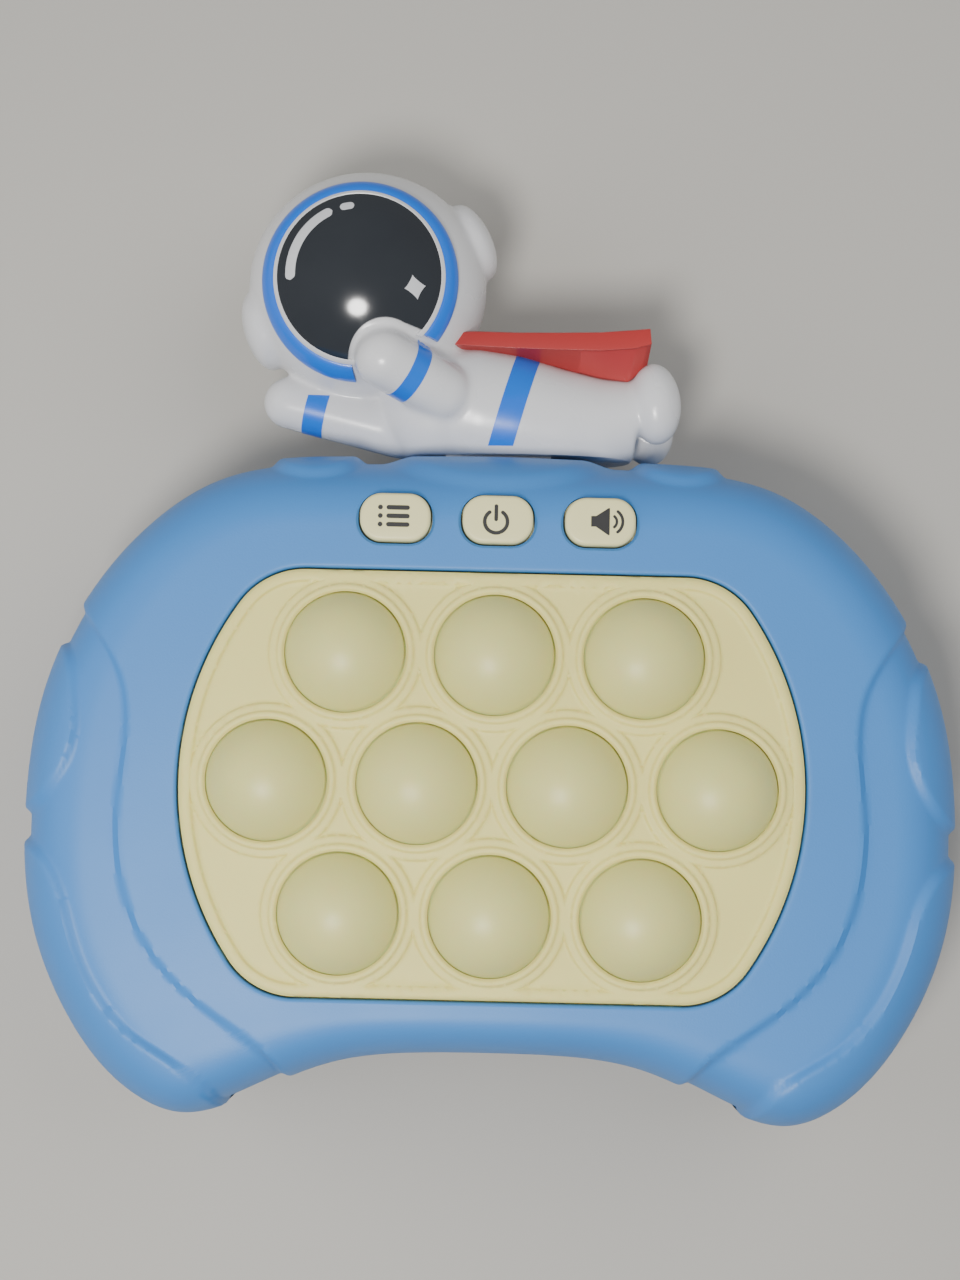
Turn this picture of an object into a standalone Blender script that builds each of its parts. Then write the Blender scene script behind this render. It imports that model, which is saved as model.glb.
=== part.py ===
"""Hand-held electronic bubble pad: a gamepad-shaped case with ten sprung silicone domes, three
function buttons, and a caped toy astronaut clamped to its top edge.

Every size is in millimetres, and meshes are scaled to metres where they are made. Pieces are laid out
round the centre of the dome field, with the case lying on its back: +X right, +Y towards the astronaut,
+Z out of the front. An empty then moves them all so that the origin is under the middle of the toy.
"""

import math

import bmesh
import bpy
import numpy as np
from mathutils import Matrix

MM = 0.001

# ---- Driving dimensions ------------------------------------------------------------------------

FIT = 0.3  # gap between pieces that rest on or in each other
WALL = 2.0  # case wall
FACE_Z = 36.0  # front face of the case; the back is at 0
PART_Z = 19.0  # where the two case halves meet
EDGE_ROUND = 11.0  # how far the rounding of the case edge reaches in from its outline
ROUND_POWER = 2.4  # 2 is an ellipse; more is squarer
# Right half of the case outline, top to bottom; the left half mirrors it.
CASE_HALF_OUTLINE = [
    (0, 45.4),
    (20, 45.0),
    (38.9, 42.4),
    (49.3, 35.3),
    (57.4, 25.0),
    (62.6, 13.0),
    (64.8, -3.0),
    (63.2, -20.4),
    (57.7, -33.1),
    (48.8, -43.0),
    (41.2, -45.9),
    (31.5, -43.0),
    (20.5, -38.5),
    (8.0, -37.0),
]
SEAT_RISE = 1.1  # the shelf on the top edge that carries the figure
SEAT_HALF_WIDTH = 15.0
SHOULDER_RISE = 1.4  # the two bumps beside it
SHOULDER_X = 27.5
SHOULDER_HALF_WIDTH = 8.5
TONGUE_DEPTH = 1.0  # how far the front half's inner lip reaches into the rear half

DOME_PITCH = 20.0
DOME_R = 7.9
DOME_RISE = 5.0  # above its collar
DOME_WALL = 1.2
LEG_RING = (5.4, 4.0)  # outer and inner radius of the contact leg under each dome
DOME_TRAVEL = 3.0
DOME_CLEARANCE = 0.25  # round the dome in its hole
OPENING_R = 42.0  # the opening is a disc with a flat top and bottom
OPENING_HALF_HEIGHT = 28.65
OPENING_FILLET = 11.0
PAD_PROUD = 0.2  # pad rim above the case face
PAD_FLOOR_DROP = 0.5  # pad floor below its rim
PAD_RIM = 1.6
PAD_FLANGE = 2.2  # how far the pad reaches under the case lip
PAD_FLANGE_THICKNESS = 1.4
COLLAR_R = 9.1
COLLAR_RISE = 0.5

BUTTON_NAMES = ("menu", "power", "volume")
BUTTON_PITCH = 13.8
BUTTON_Y = 35.6
BUTTON_SIZE = (9.5, 6.5)
BUTTON_CORNER = 2.7
BUTTON_PROUD = 0.8
BUTTON_TRAVEL = 0.7
BUTTON_FLANGE = 1.0  # its reach and its thickness
BUTTON_EDGE = 0.4  # chamfer round the top
BUTTON_STEM = 4.0

BOARD_THICKNESS = 1.6
BOARD_TOP_Z = 24.6
BOARD_R = 50.6
BOARD_HALF_HEIGHT = 31.0
BOARD_TONGUE = (42.0, 40.2)  # full width, and how far up it reaches, under the function buttons
BOARD_SCREW = (45.6, 16.5)
BOARD_BOSS_R = 2.6
SOLDER = 0.15  # under the parts on the board
GRID_THICKNESS = 1.7
WELL_WALL = 1.0  # light well round each dome, under the pad
LED_SIZE = (5.0, 5.0, 1.5)
SWITCH_BODY = (6.0, 6.0, 3.5)
SWITCH_STEM_R = 1.7
SWITCH_HEIGHT = 5.0

CASE_SCREWS = [(36.4, 34.9), (55.0, 8.0), (43.0, -37.2)]  # right half; mirrored
SCREW_R = 1.0
SCREW_CLEARANCE = 0.25  # round a shank in its hole
SCREW_POINT = 1.0  # length of its tapered end
SCREW_HEAD_R = 2.0
SCREW_HEAD_HEIGHT = 1.6
SCREW_WELL_R = 2.45
BOSS_R = 3.4
SCREW_WEB_Z = 12.0  # underside of the web that a case screw's head pulls on
SCREW_WEB = 2.0
CASE_SCREW_LENGTH = 9.0

CELL_R = 5.15  # AAA
CELL_LENGTH = 43.5
CELL_NUB = (1.9, 1.0)  # radius, height
CELLS = 3
CELL_GAP = 0.6  # between neighbouring cells
SPRING_LENGTH = 4.6
SPRING_WIRE_R = 0.35
SPRING_TURNS = 3.5
SPRING_TIP_R = 1.8
SPRING_BASE_R = 4.0
CONTACT_THICKNESS = 0.5
CONTACT_WIDTH = 8.8
BAY_CENTRE = (-17.0, -3.0)
BAY_WALL = 1.6
DOOR_THICKNESS = 1.7
DOOR_LEDGE = 2.0  # how far the door laps past the bay
DOOR_TAB = 8.0  # length added at the screw end
DOOR_RECESS = 0.15  # door face above the back plane
DOOR_CORNER = 3.0
DOOR_BOSS_R = 2.6
DOOR_SCREW_LENGTH = 4.8  # past the door's seat
DOOR_SCREW_HEAD = 0.65  # height of its flat head
GRIP_GROOVES = 4  # finger grooves at one end of the door
GRIP_GROOVE = (1.0, 12.0, 0.5)  # width, length, depth
GRIP_PITCH = 2.4
GRIP_INSET = 8.0  # from the door's end to the first groove

SPEAKER_CENTRE = (36.0, -5.0)
SPEAKER_R = 13.5
SPEAKER_HEIGHT = 6.5
SPEAKER_MAGNET_R = 8.37
SPEAKER_RING_WALL = 1.3
GRILLE_HOLE_R = 0.9
GRILLE_PITCH = 3.6
GRILLE_RINGS = 2
LEAD_R = 0.7

HELMET_CENTRE = (-19.5, 71.4)
HELMET_R = 17.0
HELMET_DEPTH = 15.3  # half its depth along Z
EAR_TILT = 25.0  # degrees that the line through both ear pads rises to the right
EAR_R = 5.6
EAR_HALF_THICKNESS = 2.4
VISOR_CENTRE = (-19.8, 70.5)
VISOR_R = 11.6
VISOR_THICKNESS = 0.9
VISOR_RING_R = 12.8
VISOR_BEAD_R = 0.9
HALO = 2.0  # visor cut back round the near hand
# Limbs are round-ended: start, end and radius, with heights from the figure's middle plane.
NEAR_ARM = ((-16.2, 57.6, 11.0), (-8.6, 55.0, 7.0), 4.4)
FAR_ARM = ((-30.0, 54.8, -0.7), (-13.0, 50.8, -0.7), 3.7)
# Trunk and boots are ellipsoids: centre, radii and turn about Z in degrees.
TRUNK = (((-4.5, 54.6, 0.0), (12.0, 8.2, 8.0), -8.0), ((6.5, 53.4, 0.0), (17.5, 7.2, 7.6), -4.0))
BOOTS = (((22.0, 54.6, 3.6), (4.3, 5.9, 4.6), 8.0), ((21.6, 52.6, -3.8), (4.2, 5.2, 4.4), 8.0))
FIGURE_WALL = 1.8
FIGURE_Z = PART_Z
STEM_HALF_WIDTH = 7.5
STEM_THICKNESS = 3.0
STEM_HOOK = 3.0  # how far the hook reaches past the stem
HOOK_THICKNESS = 1.2
SLOT_OVERRUN = 3.0  # how far the stem's slot is cut past the middle plane
CAPE_HALF_DEPTH = 8.0
# Cape seen from the front, from its collar along the trunk, round its tail and back.
CAPE_SIDE = [
    (-6.6, 65.2),
    (-6.9, 64.3),
    (2.0, 62.6),
    (9.5, 61.2),
    (17.0, 60.6),
    (20.6, 61.8),
    (22.2, 64.4),
    (22.0, 66.4),
    (16.0, 66.0),
    (6.0, 65.7),
]

OUTLINE_STEPS = 56
ROUND_STEPS = 12

# ---- Small tools -------------------------------------------------------------------------------


def clear_scene():
    for obj in list(bpy.data.objects):
        bpy.data.objects.remove(obj, do_unlink=True)


def make_material(name, colour, roughness, metallic=0.0):
    material = bpy.data.materials.new(name)
    material.use_nodes = True
    shader = material.node_tree.nodes["Principled BSDF"]
    shader.inputs["Base Color"].default_value = (*colour, 1.0)
    shader.inputs["Roughness"].default_value = roughness
    shader.inputs["Metallic"].default_value = metallic
    return material


def make_object(name, mesh_or_bm, material=None):
    """Links a mesh, made in millimetres, as an object in metres that rides on the toy's empty."""
    if isinstance(mesh_or_bm, bmesh.types.BMesh):
        mesh = bpy.data.meshes.new(name)
        mesh_or_bm.normal_update()
        mesh_or_bm.to_mesh(mesh)
        mesh_or_bm.free()
    else:
        mesh = mesh_or_bm
    mesh.transform(Matrix.Scale(MM, 4))
    obj = bpy.data.objects.new(name, mesh)
    bpy.context.scene.collection.objects.link(obj)
    obj.parent = TOY
    if material is not None:
        mesh.materials.append(material)
        mesh.shade_smooth()
        mesh.set_sharp_from_angle(angle=math.radians(35))
    return obj


def make_tool(name, bm):
    """A cutter or other helper, which isn't a piece of the toy."""
    obj = make_object(name, bm)
    obj.hide_render = True
    obj.display_type = "WIRE"
    return obj


def add_boolean(obj, operation, tool, own_overlaps=False):
    """A tool whose own shapes overlap needs the EXACT solver; the case halves need MANIFOLD's robustness."""
    modifier = obj.modifiers.new(f"{operation.lower()}_{tool.name}", "BOOLEAN")
    modifier.operation = operation
    modifier.object = tool
    if own_overlaps:
        modifier.use_self = True
    else:
        modifier.solver = "MANIFOLD"


def add_loft(bm, rings, closed_path=False):
    """Skins rings of equal length; the ends are filled, or joined to each other on a closed path."""
    loops = [[bm.verts.new(point) for point in ring] for ring in rings]
    count = len(loops[0])
    pairs = list(zip(loops, loops[1:]))
    if closed_path:
        pairs.append((loops[-1], loops[0]))
    for low, high in pairs:
        for i in range(count):
            j = (i + 1) % count
            bm.faces.new((low[i], low[j], high[j], high[i]))
    if not closed_path:
        bm.faces.new(list(reversed(loops[0])))
        bm.faces.new(loops[-1])


def at_height(outline, z):
    return [(x, y, z) for x, y in outline]


def add_prism(bm, outline, z_low, z_high):
    add_loft(bm, [at_height(outline, z_low), at_height(outline, z_high)])


def ring_points(radius, centre=(0.0, 0.0), steps=ROUND_STEPS):
    angles = [2 * math.pi * i / steps for i in range(steps)]
    return [(centre[0] + radius * math.cos(a), centre[1] + radius * math.sin(a)) for a in angles]


def add_turned(bm, profile, centre=(0.0, 0.0), steps=ROUND_STEPS, closed_path=False):
    """A solid turned round Z from (radius, z) points, bottom to top up its outside."""
    add_loft(bm, [at_height(ring_points(r, centre, steps), z) for r, z in profile], closed_path)


def add_box(bm, low, high):
    (x0, y0, z0), (x1, y1, z1) = low, high
    add_prism(bm, [(x0, y0), (x1, y0), (x1, y1), (x0, y1)], z0, z1)


def add_ellipsoid(bm, centre, radii, turn=0.0, steps=14, bands=8):
    """turn is about Z, in degrees."""
    matrix = (
        Matrix.Translation(centre)
        @ Matrix.Rotation(math.radians(turn), 4, "Z")
        @ Matrix.Diagonal((*radii, 1.0))
    )
    bmesh.ops.create_uvsphere(bm, u_segments=steps, v_segments=bands, radius=1.0, matrix=matrix)


def rounded_rectangle(width, height, corner, centre=(0.0, 0.0), corner_steps=4):
    points = []
    for sx, sy, start in ((1, 1, 0), (-1, 1, 90), (-1, -1, 180), (1, -1, 270)):
        cx = centre[0] + sx * (width / 2 - corner)
        cy = centre[1] + sy * (height / 2 - corner)
        for i in range(corner_steps + 1):
            a = math.radians(start + 90 * i / corner_steps)
            points.append((cx + corner * math.cos(a), cy + corner * math.sin(a)))
    return points


def clipped_disc(radius, half_height, fillet, side_steps=10, corner_steps=4):
    """A disc cut flat at the top and bottom, with its four corners filleted."""
    y = half_height - fillet
    x = math.sqrt((radius - fillet) ** 2 - y**2)
    slope = math.atan2(y, x)
    side = [slope * (2 * i / side_steps - 1) for i in range(side_steps + 1)]
    right = [(radius * math.cos(a), radius * math.sin(a)) for a in side]
    turn = [slope + (math.pi / 2 - slope) * (i + 1) / corner_steps for i in range(corner_steps)]
    corner = [(x + fillet * math.cos(a), y + fillet * math.sin(a)) for a in turn]
    upper = right + corner
    lower = [(px, -py) for px, py in reversed(corner)]
    half = lower + upper
    return half + [(-px, py) for px, py in reversed(half)]


def opening_outline(grow):
    return clipped_disc(OPENING_R + grow, OPENING_HALF_HEIGHT + grow, OPENING_FILLET + grow)


def button_outline(grow, centre):
    width, height = BUTTON_SIZE
    return rounded_rectangle(width + 2 * grow, height + 2 * grow, BUTTON_CORNER + grow, centre, 3)


# ---- The case outline and its rounded skin ------------------------------------------------------


def closed_spline(points, count):
    """A smooth closed curve through points, sampled evenly along its length."""
    points = np.array(points, float)
    n = len(points)
    spans = np.linalg.norm(np.roll(points, -1, axis=0) - points, axis=1)
    system = np.zeros((n, n))
    right = np.zeros((n, 2))
    for i in range(n):
        before, after = spans[i - 1], spans[i]
        system[i, i - 1] += before
        system[i, i] += 2 * (before + after)
        system[i, (i + 1) % n] += after
        ahead = (points[(i + 1) % n] - points[i]) / after
        behind = (points[i] - points[i - 1]) / before
        right[i] = 6 * (ahead - behind)
    bends = np.linalg.solve(system, right)
    fine = []
    for i in range(n):
        j = (i + 1) % n
        u = np.linspace(0, 1, 40, endpoint=False)[:, None]
        cubic_a = ((1 - u) ** 3 - (1 - u)) * spans[i] ** 2 / 6
        cubic_b = (u**3 - u) * spans[i] ** 2 / 6
        fine.append((1 - u) * points[i] + u * points[j] + cubic_a * bends[i] + cubic_b * bends[j])
    fine = np.concatenate(fine)
    closed = np.vstack([fine, fine[:1]])
    along = np.concatenate([[0], np.cumsum(np.linalg.norm(np.diff(closed, axis=0), axis=1))])
    wanted = np.linspace(0, along[-1], count, endpoint=False)
    return np.column_stack([np.interp(wanted, along, closed[:, k]) for k in (0, 1)])


def case_outline(count):
    """The case outline, counterclockwise from the top."""
    half = CASE_HALF_OUTLINE
    left = [(-x, y) for x, y in half[1:]]
    bottom = [(0.0, half[-1][1] + 0.1)]
    return closed_spline([half[0], *left, *bottom, *reversed(half[1:])], count)


OUTLINE = case_outline(OUTLINE_STEPS)
FINE_OUTLINE = case_outline(6 * OUTLINE_STEPS)


def distance_to(loop, points):
    """How far each point lies from a closed loop of straight lines."""
    along = np.roll(loop, -1, axis=0) - loop
    offset = points[:, None, :] - loop[None]
    share = np.clip((offset * along).sum(2) / (along**2).sum(1), 0, 1)
    return np.linalg.norm(offset - share[..., None] * along, axis=2).min(1)


def inset_table():
    """For each outline point, the distance from the outline at steps along the line to the centre."""
    shares = np.linspace(0, 0.6, 61)
    table = [distance_to(FINE_OUTLINE, OUTLINE * (1 - s)) for s in shares]
    return shares, np.array(table)


INSET_SHARES, INSET_TABLE = inset_table()
HALF_WIDTHS = INSET_TABLE.max(0)


def round_reaches():
    """How far the edge rounding reaches in: less where the rim round the opening is narrow."""
    gaps = distance_to(np.array(opening_outline(0.0)), OUTLINE)
    return (EDGE_ROUND**-6.0 + (0.9 * np.minimum(gaps, HALF_WIDTHS)) ** -6.0) ** (-1 / 6)


ROUND_REACH = round_reaches()


def inset_ring(distances):
    """The outline moved in by a distance for each of its points."""
    ring = []
    for i, distance in enumerate(distances):
        column = np.maximum.accumulate(INSET_TABLE[:, i])
        share = np.interp(distance, column, INSET_SHARES)
        ring.append(OUTLINE[i] * (1 - share))
    return np.array(ring)


def rounded_rings(base_z, crown_z, inset, shares):
    """Rings of the case's rounded edge, from its middle plane to the flat of a face."""
    rings = []
    depth = crown_z - base_z
    for share in shares:
        reach = ROUND_REACH - inset
        flat = inset_ring(inset + reach * share)
        height = (1 - (1 - share) ** ROUND_POWER) ** (1 / ROUND_POWER)
        z = base_z + depth * height
        rings.append([(x, y, z) for x, y in flat])
    return rings


def smooth_step(low, high, value):
    share = min(1.0, max(0.0, (value - low) / (high - low)))
    return share * share * (3 - 2 * share)


def top_edge_rise(x):
    """How far the top edge stands out at x, for the figure's seat and the two shoulders."""
    seat = 1 - smooth_step(SEAT_HALF_WIDTH - 1.5, SEAT_HALF_WIDTH + 1.5, abs(x))
    shoulder = 1 - smooth_step(0.55, 1.0, abs(abs(x) - SHOULDER_X) / SHOULDER_HALF_WIDTH)
    return SEAT_RISE * seat + SHOULDER_RISE * shoulder


def add_edge_bumps(rings):
    """Moves the skin of the top edge out, most at the middle plane."""
    moved = []
    for ring in rings:
        points = []
        for x, y, z in ring:
            near = 1 - smooth_step(6.0, 12.0, abs(z - PART_Z))
            points.append((x, y + (top_edge_rise(x) * near if y > 30 else 0.0), z))
        moved.append(points)
    return moved


SKIN_SHARES = (0.0, 0.05, 0.2, 0.5, 1.0)
CAVITY_SHARES = (0.0, 0.15, 1.0)


def add_half_skin(bm, base_z, crown_z):
    """The full outside of one case half, solid."""
    rings = add_edge_bumps(rounded_rings(base_z, crown_z, 0.0, SKIN_SHARES))
    add_loft(bm, rings)
    if crown_z < base_z:
        bmesh.ops.reverse_faces(bm, faces=bm.faces)


def add_half_cavity(bm, base_z, crown_z, overrun):
    """The hollow of one half, run past the middle plane so that it cuts cleanly."""
    rings = rounded_rings(base_z, crown_z, WALL, CAVITY_SHARES)
    first = [(x, y, base_z + overrun) for x, y, _ in rings[0]]
    add_loft(bm, [first, *rings])
    if crown_z < base_z:
        bmesh.ops.reverse_faces(bm, faces=bm.faces)


def mirrored(points):
    return [*points, *[(-x, y) for x, y in points]]


SCREW_HOLE_R = SCREW_R + SCREW_CLEARANCE
SCREW_PLACES = mirrored(CASE_SCREWS)
BOARD_SCREW_PLACES = [(sx * BOARD_SCREW[0], sy * BOARD_SCREW[1]) for sx in (1, -1) for sy in (1, -1)]
BUTTON_PLACES = [((i - 1) * BUTTON_PITCH, BUTTON_Y) for i in range(3)]
ROW_PITCH = DOME_PITCH * math.sqrt(3) / 2
DOME_PLACES = [
    ((i - (count - 1) / 2) * DOME_PITCH, row * ROW_PITCH)
    for row, count in ((1, 3), (0, 4), (-1, 3))
    for i in range(count)
]

RIM_Z = FACE_Z + PAD_PROUD
FLOOR_Z = RIM_Z - PAD_FLOOR_DROP
COLLAR_Z = RIM_Z + COLLAR_RISE
LIP_Z = FACE_Z - WALL
FLANGE_TOP_Z = LIP_Z - FIT
PAD_UNDER_Z = FLANGE_TOP_Z - PAD_FLANGE_THICKNESS
GRID_TOP_Z = PAD_UNDER_Z - FIT
BOARD_UNDER_Z = BOARD_TOP_Z - BOARD_THICKNESS
BOARD_SCREW_TIP_Z = LIP_Z - 1.0
BOSS_FOOT_Z = SCREW_WEB_Z + SCREW_WEB + FIT
SEAT_Y = CASE_HALF_OUTLINE[0][1] + SEAT_RISE
INNER_TOP_Y = CASE_HALF_OUTLINE[0][1] - WALL

# ---- Case halves --------------------------------------------------------------------------------


def even_inset(distance):
    """The outline moved in by one distance, with its corners halfway between the skin's corners."""
    ring = inset_ring(np.full(OUTLINE_STEPS, distance))
    return (ring + np.roll(ring, -1, axis=0)) / 2


def add_inner_band(bm, outer, inner, low, high):
    """A band that follows the case outline between two insets and two heights."""
    far, near = even_inset(outer), even_inset(inner)
    path = ((far, low), (far, high), (near, high), (near, low))
    add_loft(bm, [at_height(flat, z) for flat, z in path], closed_path=True)


def build_front_case(material):
    skin = bmesh.new()
    add_half_skin(skin, PART_Z + FIT / 2, FACE_Z)
    case = make_object("front_case", skin, material)

    cavity = bmesh.new()
    add_half_cavity(cavity, PART_Z + FIT / 2, LIP_Z, -2.0)
    hollow = make_tool("front_hollow", cavity)
    columns = bmesh.new()
    for place in SCREW_PLACES:
        add_turned(columns, [(BOSS_R, PART_Z + 2.0), (BOSS_R, FACE_Z)], place)
    for place in BOARD_SCREW_PLACES:
        add_turned(columns, [(BOARD_BOSS_R, BOARD_TOP_Z + FIT), (BOARD_BOSS_R, FACE_Z)], place, 10)
    add_boolean(hollow, "DIFFERENCE", make_tool("front_columns", columns))
    add_boolean(case, "DIFFERENCE", hollow)

    added = bmesh.new()
    add_inner_band(added, WALL / 2 + FIT / 2, WALL + 0.7, PART_Z - TONGUE_DEPTH, PART_Z + 1.6)
    add_boolean(case, "UNION", make_tool("front_tongue", added))
    feet = bmesh.new()
    for place in SCREW_PLACES:
        add_turned(feet, [(BOSS_R + 0.2, BOSS_FOOT_Z), (BOSS_R + 0.2, PART_Z + 3.0)], place)
    add_boolean(case, "UNION", make_tool("front_boss_feet", feet))

    cuts = bmesh.new()
    add_prism(cuts, opening_outline(0.0), LIP_Z - 1, FACE_Z + 2)
    for place in BUTTON_PLACES:
        add_prism(cuts, button_outline(DOME_CLEARANCE, place), LIP_Z - 2, FACE_Z + 2)
    bore = [(SCREW_HOLE_R, BOSS_FOOT_Z - 1), (SCREW_HOLE_R, BOSS_FOOT_Z + CASE_SCREW_LENGTH)]
    board_bore = [(SCREW_HOLE_R, BOARD_TOP_Z - 1), (SCREW_HOLE_R, BOARD_SCREW_TIP_Z + 0.5)]
    for place in SCREW_PLACES:
        add_turned(cuts, bore, place, 12)
    for place in BOARD_SCREW_PLACES:
        add_turned(cuts, board_bore, place, 10)
    add_boolean(case, "DIFFERENCE", make_tool("front_cuts", cuts))
    rebate = bmesh.new()
    add_prism(rebate, opening_outline(PAD_FLANGE + FIT), PAD_UNDER_Z - 3.0, LIP_Z + 0.1)
    add_boolean(case, "DIFFERENCE", make_tool("pad_rebate", rebate))
    rebate = bmesh.new()
    reach = BUTTON_FLANGE + FIT
    length = (len(BUTTON_NAMES) - 1) * BUTTON_PITCH + BUTTON_SIZE[0] + 2 * reach
    row = rounded_rectangle(length, BUTTON_SIZE[1] + 2 * reach, 1.0, (0.0, BUTTON_Y), 1)
    add_prism(rebate, row, LIP_Z - 6.0, LIP_Z + 0.2)
    add_boolean(case, "DIFFERENCE", make_tool("button_rebate", rebate))
    cut_stem_slot(case, 1)


def cut_stem_slot(case, side):
    """Cuts one half's share of the slot through which the figure's stem enters the case."""
    edge = PART_Z - side * SLOT_OVERRUN
    slot = bmesh.new()
    low, high = sorted((edge, PART_Z + side * (STEM_THICKNESS + 2 * FIT)))
    half = STEM_HALF_WIDTH + FIT
    add_box(slot, (-half, INNER_TOP_Y - 5.0, low), (half, SEAT_Y + 3.0, high))
    add_boolean(case, "DIFFERENCE", make_tool(f"{case.name}_stem_slot", slot))
    pocket = bmesh.new()
    low, high = sorted((edge, PART_Z + side * (STEM_THICKNESS + STEM_HOOK + 2 * FIT)))
    half = STEM_HALF_WIDTH + STEM_HOOK + FIT
    add_box(pocket, (-half, INNER_TOP_Y - 6.0, low), (half, INNER_TOP_Y, high))
    add_boolean(case, "DIFFERENCE", make_tool(f"{case.name}_hook_pocket", pocket))


CELL_PITCH = 2 * CELL_R + CELL_GAP


def bay_sizes():
    """(length, width, ceiling height) of the battery bay's inside."""
    length = CELL_LENGTH + CELL_NUB[1] + SPRING_LENGTH + 2 * CONTACT_THICKNESS + 4 * FIT
    width = (CELLS - 1) * CELL_PITCH + 2 * (CELL_R + FIT)
    top = DOOR_RECESS + DOOR_THICKNESS + FIT + 2 * CELL_R + FIT
    return length, width, top


BAY_LENGTH, BAY_WIDTH, BAY_TOP_Z = bay_sizes()
BAY_LEFT = BAY_CENTRE[0] - BAY_LENGTH / 2
BAY_RIGHT = BAY_CENTRE[0] + BAY_LENGTH / 2
CELL_Z = DOOR_RECESS + DOOR_THICKNESS + FIT + CELL_R
DOOR_LENGTH = BAY_LENGTH + 2 * DOOR_LEDGE + DOOR_TAB
DOOR_WIDTH = BAY_WIDTH + 2 * DOOR_LEDGE
DOOR_CENTRE = (BAY_CENTRE[0] + DOOR_TAB / 2, BAY_CENTRE[1])
DOOR_SCREW = (BAY_RIGHT + DOOR_LEDGE + DOOR_TAB / 2, BAY_CENTRE[1])
DOOR_SEAT_Z = DOOR_RECESS + DOOR_THICKNESS + FIT
DOOR_BOSS_TOP_Z = DOOR_SEAT_Z + DOOR_SCREW_LENGTH + 1.2


def door_outline(grow=0.0):
    size = (DOOR_LENGTH + 2 * grow, DOOR_WIDTH + 2 * grow)
    return rounded_rectangle(*size, DOOR_CORNER + grow, DOOR_CENTRE)


def build_rear_case(material):
    skin = bmesh.new()
    add_half_skin(skin, PART_Z - FIT / 2, 0.0)
    case = make_object("rear_case", skin, material)

    cavity = bmesh.new()
    add_half_cavity(cavity, PART_Z - FIT / 2, WALL, 2.0)
    hollow = make_tool("rear_hollow", cavity)
    columns = bmesh.new()
    for place in SCREW_PLACES:
        add_turned(columns, [(BOSS_R, 0.0), (BOSS_R, SCREW_WEB_Z + SCREW_WEB)], place)
    add_boolean(hollow, "DIFFERENCE", make_tool("rear_columns", columns))
    frame = bmesh.new()
    add_prism(frame, door_outline(FIT + BAY_WALL), 0.5, DOOR_SEAT_Z + BAY_WALL)
    add_boolean(hollow, "DIFFERENCE", make_tool("door_frame", frame))
    bay = bmesh.new()
    bay_outer = rounded_rectangle(BAY_LENGTH + 2 * BAY_WALL, BAY_WIDTH + 2 * BAY_WALL, 1.0, BAY_CENTRE, 1)
    add_prism(bay, bay_outer, 1.0, BAY_TOP_Z + BAY_WALL)
    add_boolean(hollow, "DIFFERENCE", make_tool("bay_block", bay))
    ring = bmesh.new()
    ring_r = SPEAKER_R + FIT
    outer_r = ring_r + SPEAKER_RING_WALL
    top = WALL + SPEAKER_HEIGHT
    path = [(ring_r, 1.0), (outer_r, 1.0), (outer_r, top), (ring_r, top)]
    add_turned(ring, path, SPEAKER_CENTRE, 20, closed_path=True)
    add_turned(ring, [(DOOR_BOSS_R, 1.2), (DOOR_BOSS_R, DOOR_BOSS_TOP_Z)], DOOR_SCREW, 12)
    add_boolean(hollow, "DIFFERENCE", make_tool("speaker_ring_and_door_boss", ring))
    add_boolean(case, "DIFFERENCE", hollow)

    cuts = bmesh.new()
    well = [(SCREW_WELL_R, -2.0), (SCREW_WELL_R, SCREW_WEB_Z)]
    well += [(SCREW_HOLE_R, SCREW_WEB_Z), (SCREW_HOLE_R, PART_Z)]
    for place in SCREW_PLACES:
        add_turned(cuts, well, place)
    for place in grille_places():
        add_turned(cuts, [(GRILLE_HOLE_R, -1.0), (GRILLE_HOLE_R, WALL + 0.5)], place, 8)
    add_turned(cuts, [(SCREW_HOLE_R, 1.0), (SCREW_HOLE_R, DOOR_BOSS_TOP_Z - 1.0)], DOOR_SCREW, 12)
    add_boolean(case, "DIFFERENCE", make_tool("rear_cuts", cuts))
    recess = bmesh.new()
    add_prism(recess, door_outline(FIT), -1.0, DOOR_SEAT_Z)
    add_boolean(case, "DIFFERENCE", make_tool("door_recess", recess))
    bay_inside = bmesh.new()
    add_box(bay_inside, (BAY_LEFT, BAY_CENTRE[1] - BAY_WIDTH / 2, -1.0),
            (BAY_RIGHT, BAY_CENTRE[1] + BAY_WIDTH / 2, BAY_TOP_Z))
    add_boolean(case, "DIFFERENCE", make_tool("bay_inside", bay_inside))
    groove = bmesh.new()
    add_inner_band(groove, WALL / 2 - FIT / 2, WALL + 3.0, PART_Z - TONGUE_DEPTH - FIT, PART_Z + 1.0)
    add_boolean(case, "DIFFERENCE", make_tool("rear_groove", groove))
    cut_stem_slot(case, -1)


def grille_places():
    """A hexagonal patch of holes in front of the speaker."""
    places = []
    for row in range(-GRILLE_RINGS, GRILLE_RINGS + 1):
        count = 2 * GRILLE_RINGS + 1 - abs(row)
        for i in range(count):
            x = (i - (count - 1) / 2) * GRILLE_PITCH
            y = row * GRILLE_PITCH * math.sqrt(3) / 2
            places.append((SPEAKER_CENTRE[0] + x, SPEAKER_CENTRE[1] + y))
    return places


def add_screw(bm, centre, under_head_z, length):
    """Head downwards, shank pointing up."""
    tip = under_head_z + length
    head = [(SCREW_HEAD_R, under_head_z - SCREW_HEAD_HEIGHT), (SCREW_HEAD_R, under_head_z)]
    shank = [(SCREW_R, under_head_z), (SCREW_R, tip - SCREW_POINT), (SCREW_R * 0.4, tip)]
    add_turned(bm, head + shank, centre, 8)


def build_case_screws(material):
    for i, place in enumerate(SCREW_PLACES):
        bm = bmesh.new()
        add_screw(bm, place, SCREW_WEB_Z - FIT / 2, CASE_SCREW_LENGTH)
        make_object(f"case_screw_{i + 1}", bm, material)


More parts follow.
